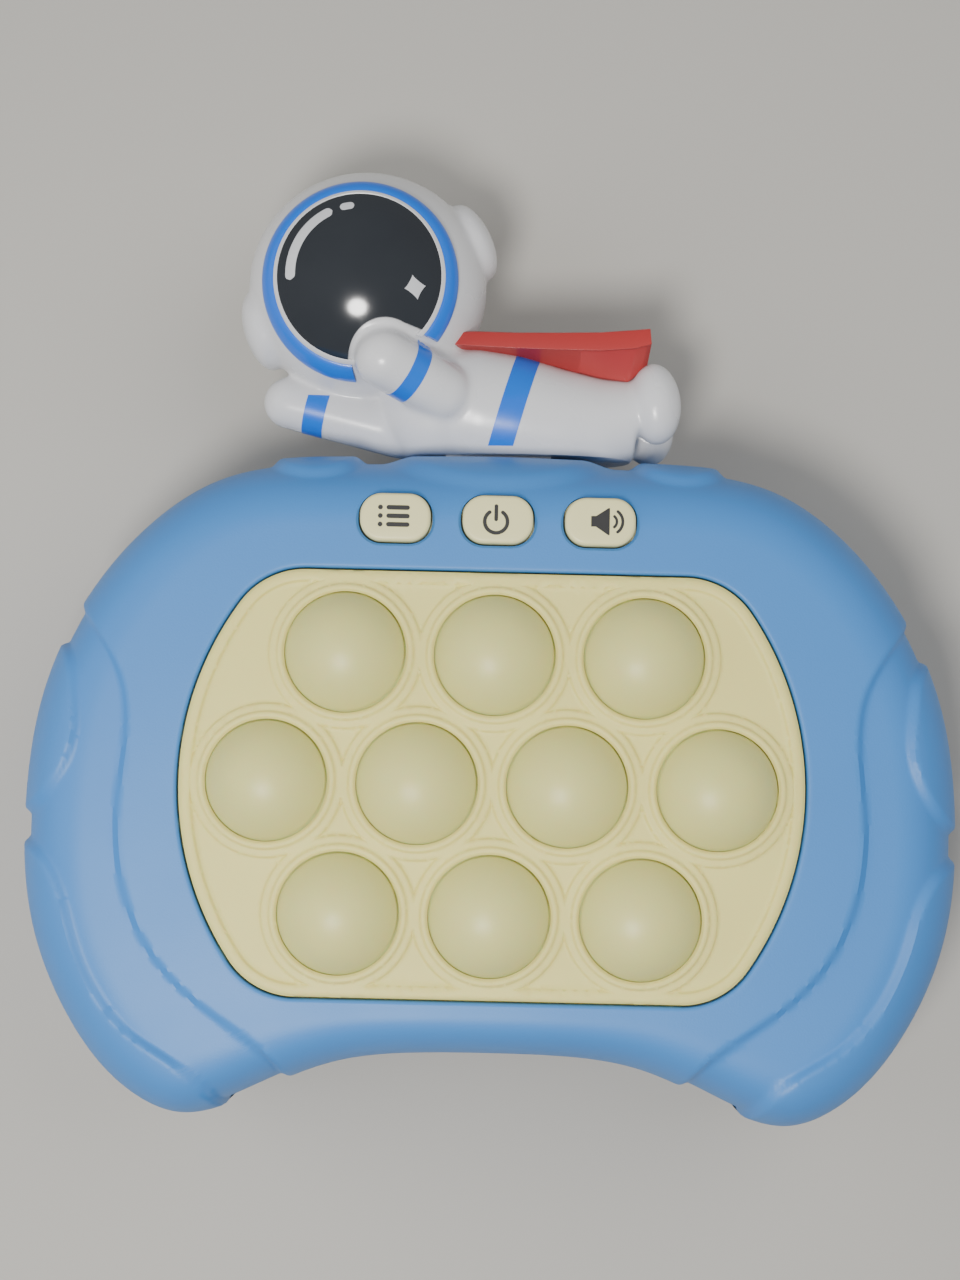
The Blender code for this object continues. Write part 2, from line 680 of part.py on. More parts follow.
# ---- Battery bay ----------------------------------------------------------------------------------


def build_battery_door(plastic, steel):
    bm = bmesh.new()
    add_prism(bm, door_outline(), DOOR_RECESS, DOOR_RECESS + DOOR_THICKNESS)
    door = make_object("battery_door", bm, plastic)
    hole = bmesh.new()
    head_r, shank_r = SCREW_HEAD_R + FIT, SCREW_R + FIT
    step_z = DOOR_RECESS + DOOR_SCREW_HEAD + SCREW_CLEARANCE
    stepped = [(head_r, -1.0), (head_r, step_z), (shank_r, step_z), (shank_r, DOOR_SEAT_Z + 1.0)]
    add_turned(hole, stepped, DOOR_SCREW)
    width, length, depth = GRIP_GROOVE
    for i in range(GRIP_GROOVES):
        x = DOOR_CENTRE[0] - DOOR_LENGTH / 2 + GRIP_INSET + GRIP_PITCH * i
        y = DOOR_CENTRE[1]
        add_box(hole, (x, y - length / 2, -1.0), (x + width, y + length / 2, DOOR_RECESS + depth))
    add_boolean(door, "DIFFERENCE", make_tool("door_hole", hole))
    screw = bmesh.new()
    low_z = DOOR_RECESS + 0.1
    head_z = low_z + DOOR_SCREW_HEAD
    tip_z = DOOR_SEAT_Z + DOOR_SCREW_LENGTH
    head = [(SCREW_HEAD_R, low_z), (SCREW_HEAD_R, head_z), (SCREW_R, head_z)]
    add_turned(screw, [*head, (SCREW_R, tip_z - 0.8), (0.4, tip_z)], DOOR_SCREW, 12)
    make_object("battery_door_screw", screw, steel)


def turn_along_x(bm, toward, x, y, z):
    """Stands a shape that was made along Z on its side, along +X or -X."""
    spin = Matrix.Rotation(math.radians(90 * toward), 4, "Y")
    bmesh.ops.transform(bm, matrix=Matrix.Translation((x, y, z)) @ spin, verts=bm.verts)


def build_cells(cell, metal):
    """Cells lie side by side, each the other way round from its neighbour."""
    for i in range(CELLS):
        y = BAY_CENTRE[1] + (i - (CELLS - 1) / 2) * CELL_PITCH
        toward = 1 if i % 2 == 0 else -1
        plus_wall = BAY_RIGHT if toward > 0 else BAY_LEFT
        base = plus_wall - toward * (CONTACT_THICKNESS + 2 * FIT + CELL_NUB[1] + CELL_LENGTH)
        bm = bmesh.new()
        nub_r, nub_height = CELL_NUB
        can = [(CELL_R - 0.4, 0.0), (CELL_R, 0.4), (CELL_R, CELL_LENGTH - 0.5), (CELL_R - 0.5, CELL_LENGTH)]
        nub = [(nub_r, CELL_LENGTH), (nub_r, CELL_LENGTH + nub_height)]
        add_turned(bm, can + nub, steps=16)
        turn_along_x(bm, toward, base, y, CELL_Z)
        make_object(f"battery_{i + 1}", bm, cell)
        build_spring(f"battery_spring_{i + 1}", base - toward * FIT, y, -toward, metal)


def build_spring(name, x, y, toward, material):
    """A cone of wire from the cell's flat end towards the contact plate behind it."""
    data = bpy.data.curves.new(name, "CURVE")
    data.dimensions = "3D"
    spline = data.splines.new("POLY")
    steps = round(SPRING_TURNS * 7)
    spline.points.add(steps)
    reach = SPRING_LENGTH - 2 * SPRING_WIRE_R - 0.2
    for k in range(steps + 1):
        share = k / steps
        angle = 2 * math.pi * SPRING_TURNS * share
        radius = SPRING_TIP_R + (SPRING_BASE_R - SPRING_TIP_R) * share
        px = x + toward * (SPRING_WIRE_R + reach * share)
        point = (px, y + radius * math.cos(angle), CELL_Z + radius * math.sin(angle))
        spline.points[k].co = (*[MM * c for c in point], 1.0)
    data.bevel_depth = SPRING_WIRE_R * MM
    data.bevel_resolution = 0
    data.use_fill_caps = True
    data.materials.append(material)
    obj = bpy.data.objects.new(name, data)
    bpy.context.scene.collection.objects.link(obj)
    obj.parent = TOY


def build_contacts(material):
    """Single plates for the two ends of the chain, and double ones that bridge two cells."""
    pitch, z = CELL_PITCH, CELL_Z
    low_y = BAY_CENTRE[1] - pitch
    mid_y = low_y + pitch
    high_y = mid_y + pitch
    groups = (
        ("contact_minus", BAY_LEFT, low_y, low_y),
        ("contact_bridge_right", BAY_RIGHT, low_y, mid_y),
        ("contact_bridge_left", BAY_LEFT, mid_y, high_y),
        ("contact_plus", BAY_RIGHT, high_y, high_y),
    )
    half = CONTACT_WIDTH / 2
    for name, wall, y_first, y_last in groups:
        inward = 1 if wall == BAY_LEFT else -1
        near, far = sorted((wall + inward * FIT, wall + inward * (FIT + CONTACT_THICKNESS)))
        bm = bmesh.new()
        add_box(bm, (near, y_first - half, z - half), (far, y_last + half, z + half))
        make_object(name, bm, material)


# ---- Pad, domes and what lies under them ------------------------------------------------------------


def build_bubble_pad(material):
    bm = bmesh.new()
    flange = opening_outline(PAD_FLANGE)
    plateau = opening_outline(-FIT)
    band = opening_outline(-FIT - PAD_RIM)
    path = [(flange, PAD_UNDER_Z), (flange, FLANGE_TOP_Z), (plateau, FLANGE_TOP_Z)]
    path += [(plateau, RIM_Z), (band, RIM_Z), (band, FLOOR_Z)]
    add_loft(bm, [at_height(outline, z) for outline, z in path])
    pad = make_object("bubble_pad", bm, material)
    collars = bmesh.new()
    for place in DOME_PLACES:
        add_turned(collars, [(COLLAR_R, FLOOR_Z - 1), (COLLAR_R, COLLAR_Z)], place)
    add_boolean(pad, "UNION", make_tool("dome_collars", collars))
    holes = bmesh.new()
    hole_r = DOME_R + DOME_CLEARANCE
    for place in DOME_PLACES:
        add_turned(holes, [(hole_r, PAD_UNDER_Z - 1), (hole_r, COLLAR_Z + 1)], place)
    add_boolean(pad, "DIFFERENCE", make_tool("dome_holes", holes))


def dome_profile():
    """Outside and inside of one dome with its skirt and contact leg, as a closed (radius, z) path."""
    cap_r = (DOME_R**2 + DOME_RISE**2) / (2 * DOME_RISE)
    centre_z = COLLAR_Z + DOME_RISE - cap_r
    edge = math.asin(DOME_R / cap_r)
    tip = COLLAR_Z + DOME_RISE
    outside = [(cap_r * math.sin(edge * s), centre_z + cap_r * math.cos(edge * s)) for s in (1, 0.6)]
    inner = DOME_R - DOME_WALL
    leg_out, leg_in = LEG_RING
    leg_z = BOARD_TOP_Z + DOME_TRAVEL + FIT
    ceiling = COLLAR_Z + 1.5
    under = [(inner, PAD_UNDER_Z), (inner, COLLAR_Z), (leg_out, ceiling), (leg_out, leg_z), (leg_in, leg_z)]
    return under, [(DOME_R, PAD_UNDER_Z), *outside], tip


def build_domes(material):
    under, outside, tip = dome_profile()
    crown = [(0.9, tip)]
    roof = [(0.9, COLLAR_Z + DOME_RISE - 1.5 * DOME_WALL)]
    for i, place in enumerate(DOME_PLACES):
        bm = bmesh.new()
        path = [*reversed([*under, *roof]), *outside, *crown]
        add_turned(bm, path, place)
        make_object(f"bubble_{i + 1}", bm, material)


def build_light_grid(material):
    bm = bmesh.new()
    plate = opening_outline(PAD_FLANGE)
    under_z = GRID_TOP_Z - GRID_THICKNESS
    add_prism(bm, plate, under_z, GRID_TOP_Z)
    grid = make_object("light_grid", bm, material)
    wells = bmesh.new()
    hole_r = DOME_R + FIT
    foot_z = BOARD_TOP_Z + FIT
    for place in DOME_PLACES:
        add_turned(wells, [(hole_r + WELL_WALL, foot_z), (hole_r + WELL_WALL, under_z + 0.6)], place)
    add_boolean(grid, "UNION", make_tool("light_wells", wells))
    holes = bmesh.new()
    for place in DOME_PLACES:
        add_turned(holes, [(hole_r, foot_z - 1), (hole_r, GRID_TOP_Z + 1)], place)
    add_boolean(grid, "DIFFERENCE", make_tool("grid_holes", holes))


def build_board(green, steel):
    bm = bmesh.new()
    add_prism(bm, clipped_disc(BOARD_R, BOARD_HALF_HEIGHT, 8.0), BOARD_UNDER_Z, BOARD_TOP_Z)
    board = make_object("main_board", bm, green)
    tongue = bmesh.new()
    width, top = BOARD_TONGUE
    height = top - BOARD_HALF_HEIGHT + 10.0
    centre = (0.0, top - height / 2)
    add_prism(tongue, rounded_rectangle(width, height, 3.0, centre), BOARD_UNDER_Z, BOARD_TOP_Z)
    add_boolean(board, "UNION", make_tool("board_tongue", tongue))
    holes = bmesh.new()
    for place in BOARD_SCREW_PLACES:
        add_turned(holes, [(SCREW_HOLE_R, BOARD_UNDER_Z - 1), (SCREW_HOLE_R, BOARD_TOP_Z + 1)], place, 12)
    add_boolean(board, "DIFFERENCE", make_tool("board_holes", holes))
    for i, place in enumerate(BOARD_SCREW_PLACES):
        screw = bmesh.new()
        add_screw(screw, place, BOARD_UNDER_Z - FIT / 2, BOARD_SCREW_TIP_Z - BOARD_UNDER_Z)
        make_object(f"board_screw_{i + 1}", screw, steel)


def build_leds(material):
    length, width, height = LED_SIZE
    for i, (x, y) in enumerate(DOME_PLACES):
        bm = bmesh.new()
        low = (x - length / 2, y - width / 2, BOARD_TOP_Z + SOLDER)
        add_box(bm, low, (x + length / 2, y + width / 2, BOARD_TOP_Z + height))
        make_object(f"led_{i + 1}", bm, material)


def build_function_buttons(cap_material, switch_material):
    length, depth, body_height = SWITCH_BODY
    foot_z = BOARD_TOP_Z + SOLDER
    switch_top = foot_z + SWITCH_HEIGHT
    flange_z = LIP_Z - FIT
    top_z = FACE_Z + BUTTON_PROUD
    for name, (x, y) in zip(BUTTON_NAMES, BUTTON_PLACES):
        bm = bmesh.new()
        cap = button_outline(0.0, (x, y))
        brow = button_outline(-BUTTON_EDGE, (x, y))
        flange = button_outline(BUTTON_FLANGE, (x, y))
        stem = rounded_rectangle(BUTTON_STEM, BUTTON_STEM, 1.5, (x, y), 3)
        under_z = flange_z - BUTTON_FLANGE
        path = [(stem, switch_top + BUTTON_TRAVEL + 0.1), (stem, under_z)]
        path += [(flange, under_z), (flange, flange_z), (cap, flange_z)]
        path += [(cap, top_z - BUTTON_EDGE), (brow, top_z)]
        add_loft(bm, [at_height(outline, z) for outline, z in path])
        make_object(f"{name}_button", bm, cap_material)
        switch = bmesh.new()
        high = (x + length / 2, y + depth / 2, BOARD_TOP_Z + body_height)
        add_box(switch, (x - length / 2, y - depth / 2, foot_z), high)
        body = make_object(f"{name}_switch", switch, switch_material)
        stub = bmesh.new()
        add_turned(stub, [(SWITCH_STEM_R, BOARD_TOP_Z + 1.0), (SWITCH_STEM_R, switch_top)], (x, y), 10)
        add_boolean(body, "UNION", make_tool(f"{name}_switch_stem", stub))


# ---- Speaker and leads ------------------------------------------------------------------------------


def build_speaker(material):
    base = WALL + FIT
    top = base + SPEAKER_HEIGHT
    bm = bmesh.new()
    r = SPEAKER_R
    rim = [(r - 2.0, base), (r, base), (r, base + 1.2), (r - 2.5, base + 1.4)]
    magnet = [(SPEAKER_MAGNET_R, top - 3.2), (SPEAKER_MAGNET_R, top)]
    add_turned(bm, rim + magnet, SPEAKER_CENTRE, 20)
    make_object("speaker", bm, material)


def build_lead(name, points, radius, material):
    """A lead laid on a smooth curve through its points."""
    points = [np.array(p, float) for p in points]
    padded = [2 * points[0] - points[1], *points, 2 * points[-1] - points[-2]]
    route = []
    for a, b, c, d in zip(padded, padded[1:], padded[2:], padded[3:]):
        for u in np.linspace(0, 1, 3, endpoint=False):
            bend = (2 * a - 5 * b + 4 * c - d) * u**2 + (3 * b - a - 3 * c + d) * u**3
            route.append(0.5 * (2 * b + (c - a) * u + bend))
    route.append(points[-1])
    data = bpy.data.curves.new(name, "CURVE")
    data.dimensions = "3D"
    spline = data.splines.new("POLY")
    spline.points.add(len(route) - 1)
    for k, point in enumerate(route):
        spline.points[k].co = (*[MM * float(c) for c in point], 1.0)
    data.bevel_depth = radius * MM
    data.bevel_resolution = 1
    data.use_fill_caps = True
    data.materials.append(material)
    obj = bpy.data.objects.new(name, data)
    bpy.context.scene.collection.objects.link(obj)
    obj.parent = TOY


def build_leads(red, black):
    under = BOARD_UNDER_Z - 1.0
    speaker_top = WALL + FIT + SPEAKER_HEIGHT
    sx, sy = SPEAKER_CENTRE
    start = [(sx - 4, sy + 4, speaker_top + LEAD_R + 0.05), (sx - 5, sy + 7, speaker_top + 2.5)]
    end = [(sx - 6, sy + 13, speaker_top + 5), (sx - 8, sy + 17, under - 3), (sx - 9, sy + 18, under)]
    build_lead("speaker_lead", start + end, LEAD_R, red)
    bx, by = BAY_RIGHT, BAY_CENTRE[1] + CELL_PITCH
    out = BAY_WALL + 1.0
    start = [(bx + out, by, 7.0), (bx + out + 0.6, by + 1, 11.0), (bx + out, by + 5, 15.5)]
    end = [(bx + out - 1, by + 9, under - 3), (bx + out - 2, by + 10, under)]
    build_lead("battery_lead", start + end, LEAD_R, black)


# ---- Astronaut ----------------------------------------------------------------------------------------


def add_capsule(bm, start, end, radius, steps=10):
    """A round-ended limb between two points."""
    start, end = np.array(start, float), np.array(end, float)
    axis = end - start
    length = float(np.linalg.norm(axis))
    made = bmesh.ops.create_uvsphere(bm, u_segments=steps, v_segments=6, radius=radius)["verts"]
    for vert in made:
        if vert.co.z > 1e-6:
            vert.co.z += length
    heading = Matrix.Identity(4)
    z = axis / length
    x = np.cross((0.0, 0.31, 0.95), z)
    x /= np.linalg.norm(x)
    y = np.cross(z, x)
    for row in range(3):
        heading[row][0], heading[row][1], heading[row][2] = x[row], y[row], z[row]
    bmesh.ops.transform(bm, matrix=Matrix.Translation(start) @ heading, verts=made)


def add_limb(bm, limb, grow=0.0):
    (x0, y0, z0), (x1, y1, z1), radius = limb
    add_capsule(bm, (x0, y0, FIGURE_Z + z0), (x1, y1, FIGURE_Z + z1), radius + grow)


def add_figure_body(bm, inset):
    """Helmet, ear pads, trunk, limbs and boots as overlapping rounds, each thinner by inset."""
    hx, hy = HELMET_CENTRE
    z = FIGURE_Z
    steps, bands = (12, 6) if inset > 0 else (18, 10)
    helmet = ((hx, hy, 0.0), (HELMET_R, HELMET_R, HELMET_DEPTH), 0.0)
    for (cx, cy, rise), radii, turn in (helmet, *TRUNK):
        add_ellipsoid(bm, (cx, cy, z + rise), [r - inset for r in radii], turn, steps, bands)
    if inset:
        return
    tilt = math.radians(EAR_TILT)
    for side in (1, -1):
        reach = side * (HELMET_R + 0.3)
        centre = (hx + reach * math.cos(tilt), hy + reach * math.sin(tilt) - 0.6, z)
        add_ellipsoid(bm, centre, (EAR_HALF_THICKNESS, EAR_R, EAR_R), EAR_TILT, 10, 6)
    add_limb(bm, NEAR_ARM)
    add_limb(bm, FAR_ARM)
    for (cx, cy, rise), radii, turn in BOOTS:
        add_ellipsoid(bm, (cx, cy, z + rise), radii, turn, 10, 6)


def build_figure(white, black, red):
    low_y = SEAT_Y + FIT
    for name, side in (("figure_front", 1), ("figure_back", -1)):
        bm = bmesh.new()
        add_figure_body(bm, 0.0)
        half = make_object(name, bm, white)
        space = bmesh.new()
        z_low, z_high = sorted((FIGURE_Z + side * FIT / 2, FIGURE_Z + side * 40))
        add_box(space, (-60, low_y, z_low), (40, 110, z_high))
        add_boolean(half, "INTERSECT", make_tool(f"{name}_space", space), own_overlaps=True)
        core = bmesh.new()
        add_figure_body(core, FIGURE_WALL)
        add_boolean(half, "DIFFERENCE", make_tool(f"{name}_core", core), own_overlaps=True)
        stem = bmesh.new()
        near = PART_Z + side * FIT
        stem_low, stem_high = sorted((near, near + side * STEM_THICKNESS))
        hook_low, hook_high = sorted((near, near + side * (STEM_THICKNESS + STEM_HOOK)))
        hook_y = INNER_TOP_Y - FIT
        w = STEM_HALF_WIDTH
        add_box(stem, (-w, hook_y - 1.0, stem_low), (w, low_y + 2.5, stem_high))
        add_boolean(half, "UNION", make_tool(f"{name}_stem", stem))
        hook = bmesh.new()
        reach = w + STEM_HOOK
        add_box(hook, (-reach, hook_y - HOOK_THICKNESS - 1.0, hook_low), (reach, hook_y, hook_high))
        add_boolean(half, "UNION", make_tool(f"{name}_hook", hook))
        if side > 0:
            bead = bmesh.new()
            add_visor_bead(bead)
            add_boolean(half, "UNION", make_tool("visor_bead", bead))
    build_visor(black)
    build_cape(red)


def helmet_z(x, y, grow=0.0):
    """Height of the helmet's front at a place."""
    flat = ((x - HELMET_CENTRE[0]) ** 2 + (y - HELMET_CENTRE[1]) ** 2) / (HELMET_R + grow) ** 2
    return FIGURE_Z + (HELMET_DEPTH + grow) * math.sqrt(max(0.0, 1 - flat))


def add_visor_bead(bm):
    rings = []
    steps = 20
    for i in range(steps):
        a = 2 * math.pi * i / steps
        middle_x = VISOR_CENTRE[0] + VISOR_RING_R * math.cos(a)
        middle_z = helmet_z(middle_x, VISOR_CENTRE[1] + VISOR_RING_R * math.sin(a))
        ring = []
        for k in range(4):
            b = 2 * math.pi * k / 4
            r = VISOR_RING_R + VISOR_BEAD_R * math.cos(b)
            x, y = VISOR_CENTRE[0] + r * math.cos(a), VISOR_CENTRE[1] + r * math.sin(a)
            ring.append((x, y, middle_z + VISOR_BEAD_R * math.sin(b)))
        rings.append(ring)
    add_loft(bm, rings, closed_path=True)
    bmesh.ops.recalc_face_normals(bm, faces=bm.faces)


def build_visor(material):
    """A thin cap that follows the helmet, cut away round the near hand."""
    bm = bmesh.new()
    shares = (1.0, 0.66, 0.33, 0.06)
    levels = [(s, FIT) for s in reversed(shares)] + [(s, FIT + VISOR_THICKNESS) for s in shares]
    rings = []
    for share, lift in levels:
        flat = ring_points(VISOR_R * share, VISOR_CENTRE, 20)
        rings.append([(x, y, helmet_z(x, y, lift)) for x, y in flat])
    add_loft(bm, rings)
    visor = make_object("figure_visor", bm, material)
    hand = bmesh.new()
    add_limb(hand, NEAR_ARM, HALO)
    add_boolean(visor, "DIFFERENCE", make_tool("hand_relief", hand))


def build_cape(material):
    bm = bmesh.new()
    add_prism(bm, CAPE_SIDE, FIGURE_Z - CAPE_HALF_DEPTH, FIGURE_Z + CAPE_HALF_DEPTH)
    cape = make_object("figure_cape", bm, material)
    body = bmesh.new()
    add_figure_body(body, -FIT)
    add_boolean(cape, "DIFFERENCE", make_tool("cape_relief", body), own_overlaps=True)


# ---- The whole toy --------------------------------------------------------------------------------------


def middle_of_toy():
    """Y halfway between the lowest grip and the top of the helmet."""
    lowest = float(FINE_OUTLINE[:, 1].min())
    highest = HELMET_CENTRE[1] + HELMET_R
    return (lowest + highest) / 2


clear_scene()
TOY = bpy.data.objects.new("toy", None)
bpy.context.scene.collection.objects.link(TOY)

BLUE = make_material("case_blue", (0.16, 0.36, 0.72), 0.45)
CREAM_SILICONE = make_material("pad_cream", (0.78, 0.72, 0.48), 0.6)
DOME_SILICONE = make_material("dome_cream", (0.70, 0.67, 0.48), 0.55)
CREAM_CAP = make_material("button_cream", (0.80, 0.76, 0.58), 0.4)
WHITE_GRID = make_material("grid_white", (0.85, 0.85, 0.85), 0.5)
BOARD_GREEN = make_material("board_green", (0.03, 0.25, 0.08), 0.5)
LED_WHITE = make_material("led_white", (0.9, 0.9, 0.8), 0.3)
DARK_PLASTIC = make_material("dark_plastic", (0.03, 0.03, 0.03), 0.5)
STEEL = make_material("steel", (0.6, 0.6, 0.6), 0.3, 1.0)
CELL_SHELL = make_material("cell_shell", (0.1, 0.3, 0.15), 0.35)
FIGURE_WHITE = make_material("figure_white", (0.82, 0.82, 0.84), 0.3)
VISOR_BLACK = make_material("visor_black", (0.02, 0.02, 0.025), 0.1)
CAPE_RED = make_material("cape_red", (0.75, 0.05, 0.06), 0.35)
RED_LEAD = make_material("lead_red", (0.6, 0.03, 0.03), 0.5)
BLACK_LEAD = make_material("lead_black", (0.02, 0.02, 0.02), 0.5)

build_front_case(BLUE)
build_rear_case(BLUE)
build_case_screws(STEEL)
build_battery_door(BLUE, STEEL)
build_cells(CELL_SHELL, STEEL)
build_contacts(STEEL)
build_bubble_pad(CREAM_SILICONE)
build_domes(DOME_SILICONE)
build_light_grid(WHITE_GRID)
build_board(BOARD_GREEN, STEEL)
build_leds(LED_WHITE)
build_function_buttons(CREAM_CAP, DARK_PLASTIC)
build_speaker(DARK_PLASTIC)
build_leads(RED_LEAD, BLACK_LEAD)
build_figure(FIGURE_WHITE, VISOR_BLACK, CAPE_RED)
TOY.location.y = -middle_of_toy() * MM
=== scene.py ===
import math

import bmesh
import bpy
import numpy as np
from mathutils import Matrix, Vector, geometry, kdtree


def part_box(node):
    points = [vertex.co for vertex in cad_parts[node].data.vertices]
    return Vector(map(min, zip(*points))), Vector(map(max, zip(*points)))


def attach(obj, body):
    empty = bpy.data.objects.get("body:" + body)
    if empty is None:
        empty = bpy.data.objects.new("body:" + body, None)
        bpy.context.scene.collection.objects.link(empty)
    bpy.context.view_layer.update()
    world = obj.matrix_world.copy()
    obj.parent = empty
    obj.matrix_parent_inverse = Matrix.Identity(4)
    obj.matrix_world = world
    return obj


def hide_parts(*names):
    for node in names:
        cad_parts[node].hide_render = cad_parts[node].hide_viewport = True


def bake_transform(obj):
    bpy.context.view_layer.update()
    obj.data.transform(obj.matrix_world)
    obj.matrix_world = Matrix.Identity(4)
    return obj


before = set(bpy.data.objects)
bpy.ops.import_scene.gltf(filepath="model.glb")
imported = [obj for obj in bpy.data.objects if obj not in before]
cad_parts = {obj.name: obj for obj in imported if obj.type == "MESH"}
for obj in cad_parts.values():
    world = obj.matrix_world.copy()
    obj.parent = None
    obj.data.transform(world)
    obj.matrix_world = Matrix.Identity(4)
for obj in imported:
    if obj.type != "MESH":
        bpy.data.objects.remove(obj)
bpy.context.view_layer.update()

# ---- Camera, lights and floor ----------------------------------------------------------------------
# The toy lies on its back on a pale floor. The camera hangs over the bubbles and leans a little
# towards the astronaut. Sizes are in millimetres from the middle of the bubble field.

MM = 0.001
CAMERA_PLACE = (-2.5, -0.1, 277.0)
CAMERA_TILT = (-4.61, 0.11, -1.35)
pad_low, pad_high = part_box("bubble_pad")
FIELD = (pad_low + pad_high) / 2


def place(x, y, z):
    return Vector((FIELD.x + x * MM, FIELD.y + y * MM, z * MM))


camera_data = bpy.data.cameras.new("camera")
camera_data.sensor_width = 36.0
camera_data.lens = 50.8
camera = bpy.data.objects.new("camera", camera_data)
camera.location = place(*CAMERA_PLACE)
lean, roll, turn = (math.radians(angle) for angle in CAMERA_TILT)
facing = Matrix.Rotation(turn, 3, "Z") @ Matrix.Rotation(roll, 3, "Y") @ Matrix.Rotation(lean, 3, "X")
camera.rotation_euler = facing.transposed().to_euler()
bpy.context.scene.collection.objects.link(camera)
bpy.context.scene.camera = camera


def add_light(name, where, size, power, colour=(1.0, 1.0, 1.0), mirrored=False):
    """An area light that shines on the middle of the toy. Only a mirrored one shows in glossy parts."""
    data = bpy.data.lights.new(name, "AREA")
    data.shape = "DISK"
    data.size = size * MM
    data.energy = power
    data.color = colour
    light = bpy.data.objects.new(name, data)
    light.location = place(*where)
    aim = place(0.0, 15.0, 20.0) - light.location
    light.rotation_euler = aim.to_track_quat("-Z", "Y").to_euler()
    light.visible_glossy = mirrored
    bpy.context.scene.collection.objects.link(light)


add_light("key_light", (-60.0, -90.0, 330.0), 90.0, 1.05, (1.0, 0.98, 0.95), mirrored=True)
add_light("fill_light", (260.0, 160.0, 360.0), 420.0, 0.92)
add_light("left_light", (-380.0, 60.0, 260.0), 380.0, 0.88)
world = bpy.data.worlds.new("studio")
world.use_nodes = True
world.node_tree.nodes["Background"].inputs["Color"].default_value = (0.95, 0.97, 1.0, 1.0)
world.node_tree.nodes["Background"].inputs["Strength"].default_value = 0.27
bpy.context.scene.world = world

floor_mesh = bpy.data.meshes.new("floor")
floor_mesh.from_pydata([(-2, -2, 0), (2, -2, 0), (2, 2, 0), (-2, 2, 0)], [], [(0, 1, 2, 3)])
floor = bpy.data.objects.new("floor", floor_mesh)
bpy.context.scene.collection.objects.link(floor)
floor_paint = bpy.data.materials.new("floor_paint")
floor_paint.use_nodes = True
floor_shader = floor_paint.node_tree.nodes["Principled BSDF"]
floor_shader.inputs["Base Color"].default_value = (0.47, 0.455, 0.42, 1.0)
floor_shader.inputs["Roughness"].default_value = 0.9
floor_mesh.materials.append(floor_paint)

# ---- Front and rear case halves --------------------------------------------------------------------
# Two sky-blue ABS mouldings that meet round the middle of the case. Both have sunk grip panels with two
# raised lips each side, and the top edge swells into the figure's shelf and two shoulders.

CASE_SLOT = "case_blue"
FACE_Z, PART_Z, SEAM, WALL = 36.0, 19.0, 0.3, 2.0
CASE_HALF_OUTLINE = [
    (0, 45.4), (20, 45.0), (38.9, 42.4), (49.3, 35.3), (57.4, 25.0), (62.6, 13.0), (64.8, -3.0),
    (63.2, -20.4), (57.7, -33.1), (48.8, -43.0), (41.2, -45.9), (31.5, -43.0), (20.5, -38.5), (8.0, -37.0),
]
EDGE_ROUND, ROUND_POWER = 11.0, 2.4
OPENING_R, OPENING_HALF_HEIGHT, OPENING_FILLET = 42.0, 28.65, 11.0
OPENING_LIP = 0.45
AROUND = 900
GRIP_SINK, GRIP_STEP = 0.9, 1.15
GRIP_PANEL = [
    (60.5, 25.6), (56.6, 22.6), (53.4, 19.0), (50.3, 14.0), (49.1, 7.5), (49.9, -4.0), (49.0, -13.5),
    (45.0, -22.6), (38.4, -29.4), (31.6, -34.2), (27.6, -38.6), (27.0, -46.0), (50.0, -56.0),
    (74.0, -30.0), (76.0, 10.0),
]
UPPER_LIP = [
    (62.6, 19.6), (58.2, 16.6), (56.5, 11.0), (56.1, 6.0), (57.4, 1.4), (60.0, -2.2), (64.5, -5.0),
    (72.0, 0.0), (72.0, 14.0),
]
LOWER_LIP = [
    (65.5, -8.6), (61.2, -10.2), (58.2, -13.4), (55.6, -20.5), (52.3, -28.0), (47.4, -33.6),
    (40.6, -37.9), (37.0, -41.6), (34.6, -47.5), (52.0, -56.0), (72.0, -36.0),
]
SHELF = (0.0, 46.6, 17.3, 6.9)  # middle x and y, half width, and how far it reaches down the face
SHOULDER = (25.4, 45.2, 7.2, 4.2)
SHELF_RISE, SHOULDER_RISE = 1.1, 1.1
SHELF_FADE, SHOULDER_FADE = 0.65, 1.0  # how much of each rise is gone by the two faces
TONGUE_OUTER, TONGUE_INNER, TONGUE_DROP, TONGUE_GAP = 1.15, 2.7, 1.0, 0.3
STEM_WIDTH, STEM_DEPTH, STEM_GAP, SLOT_OVERRUN = 15.0, 3.3, 0.3, 3.0


def closed_curve(points, count):
    """A smooth closed curve through points, sampled evenly along its length."""
    points = np.array(points, float)
    n = len(points)
    spans = np.linalg.norm(np.roll(points, -1, axis=0) - points, axis=1)
    system = np.zeros((n, n))
    right = np.zeros((n, 2))
    for i in range(n):
        before, after = spans[i - 1], spans[i]
        system[i, i - 1] += before
        system[i, i] += 2 * (before + after)
        system[i, (i + 1) % n] += after
        right[i] = 6 * ((points[(i + 1) % n] - points[i]) / after - (points[i] - points[i - 1]) / before)
    bends = np.linalg.solve(system, right)
    u = np.linspace(0, 1, 40, endpoint=False)[:, None]
    fine = []
    for i in range(n):
        j = (i + 1) % n
        pull = ((1 - u) ** 3 - (1 - u)) * bends[i] + (u**3 - u) * bends[j]
        fine.append((1 - u) * points[i] + u * points[j] + spans[i] ** 2 / 6 * pull)
    fine = np.concatenate([*fine, points[:1]])
    along = np.concatenate([[0], np.cumsum(np.linalg.norm(np.diff(fine, axis=0), axis=1))])
    wanted = np.linspace(0, along[-1], count, endpoint=False)
    return np.column_stack([np.interp(wanted, along, fine[:, k]) for k in (0, 1)])


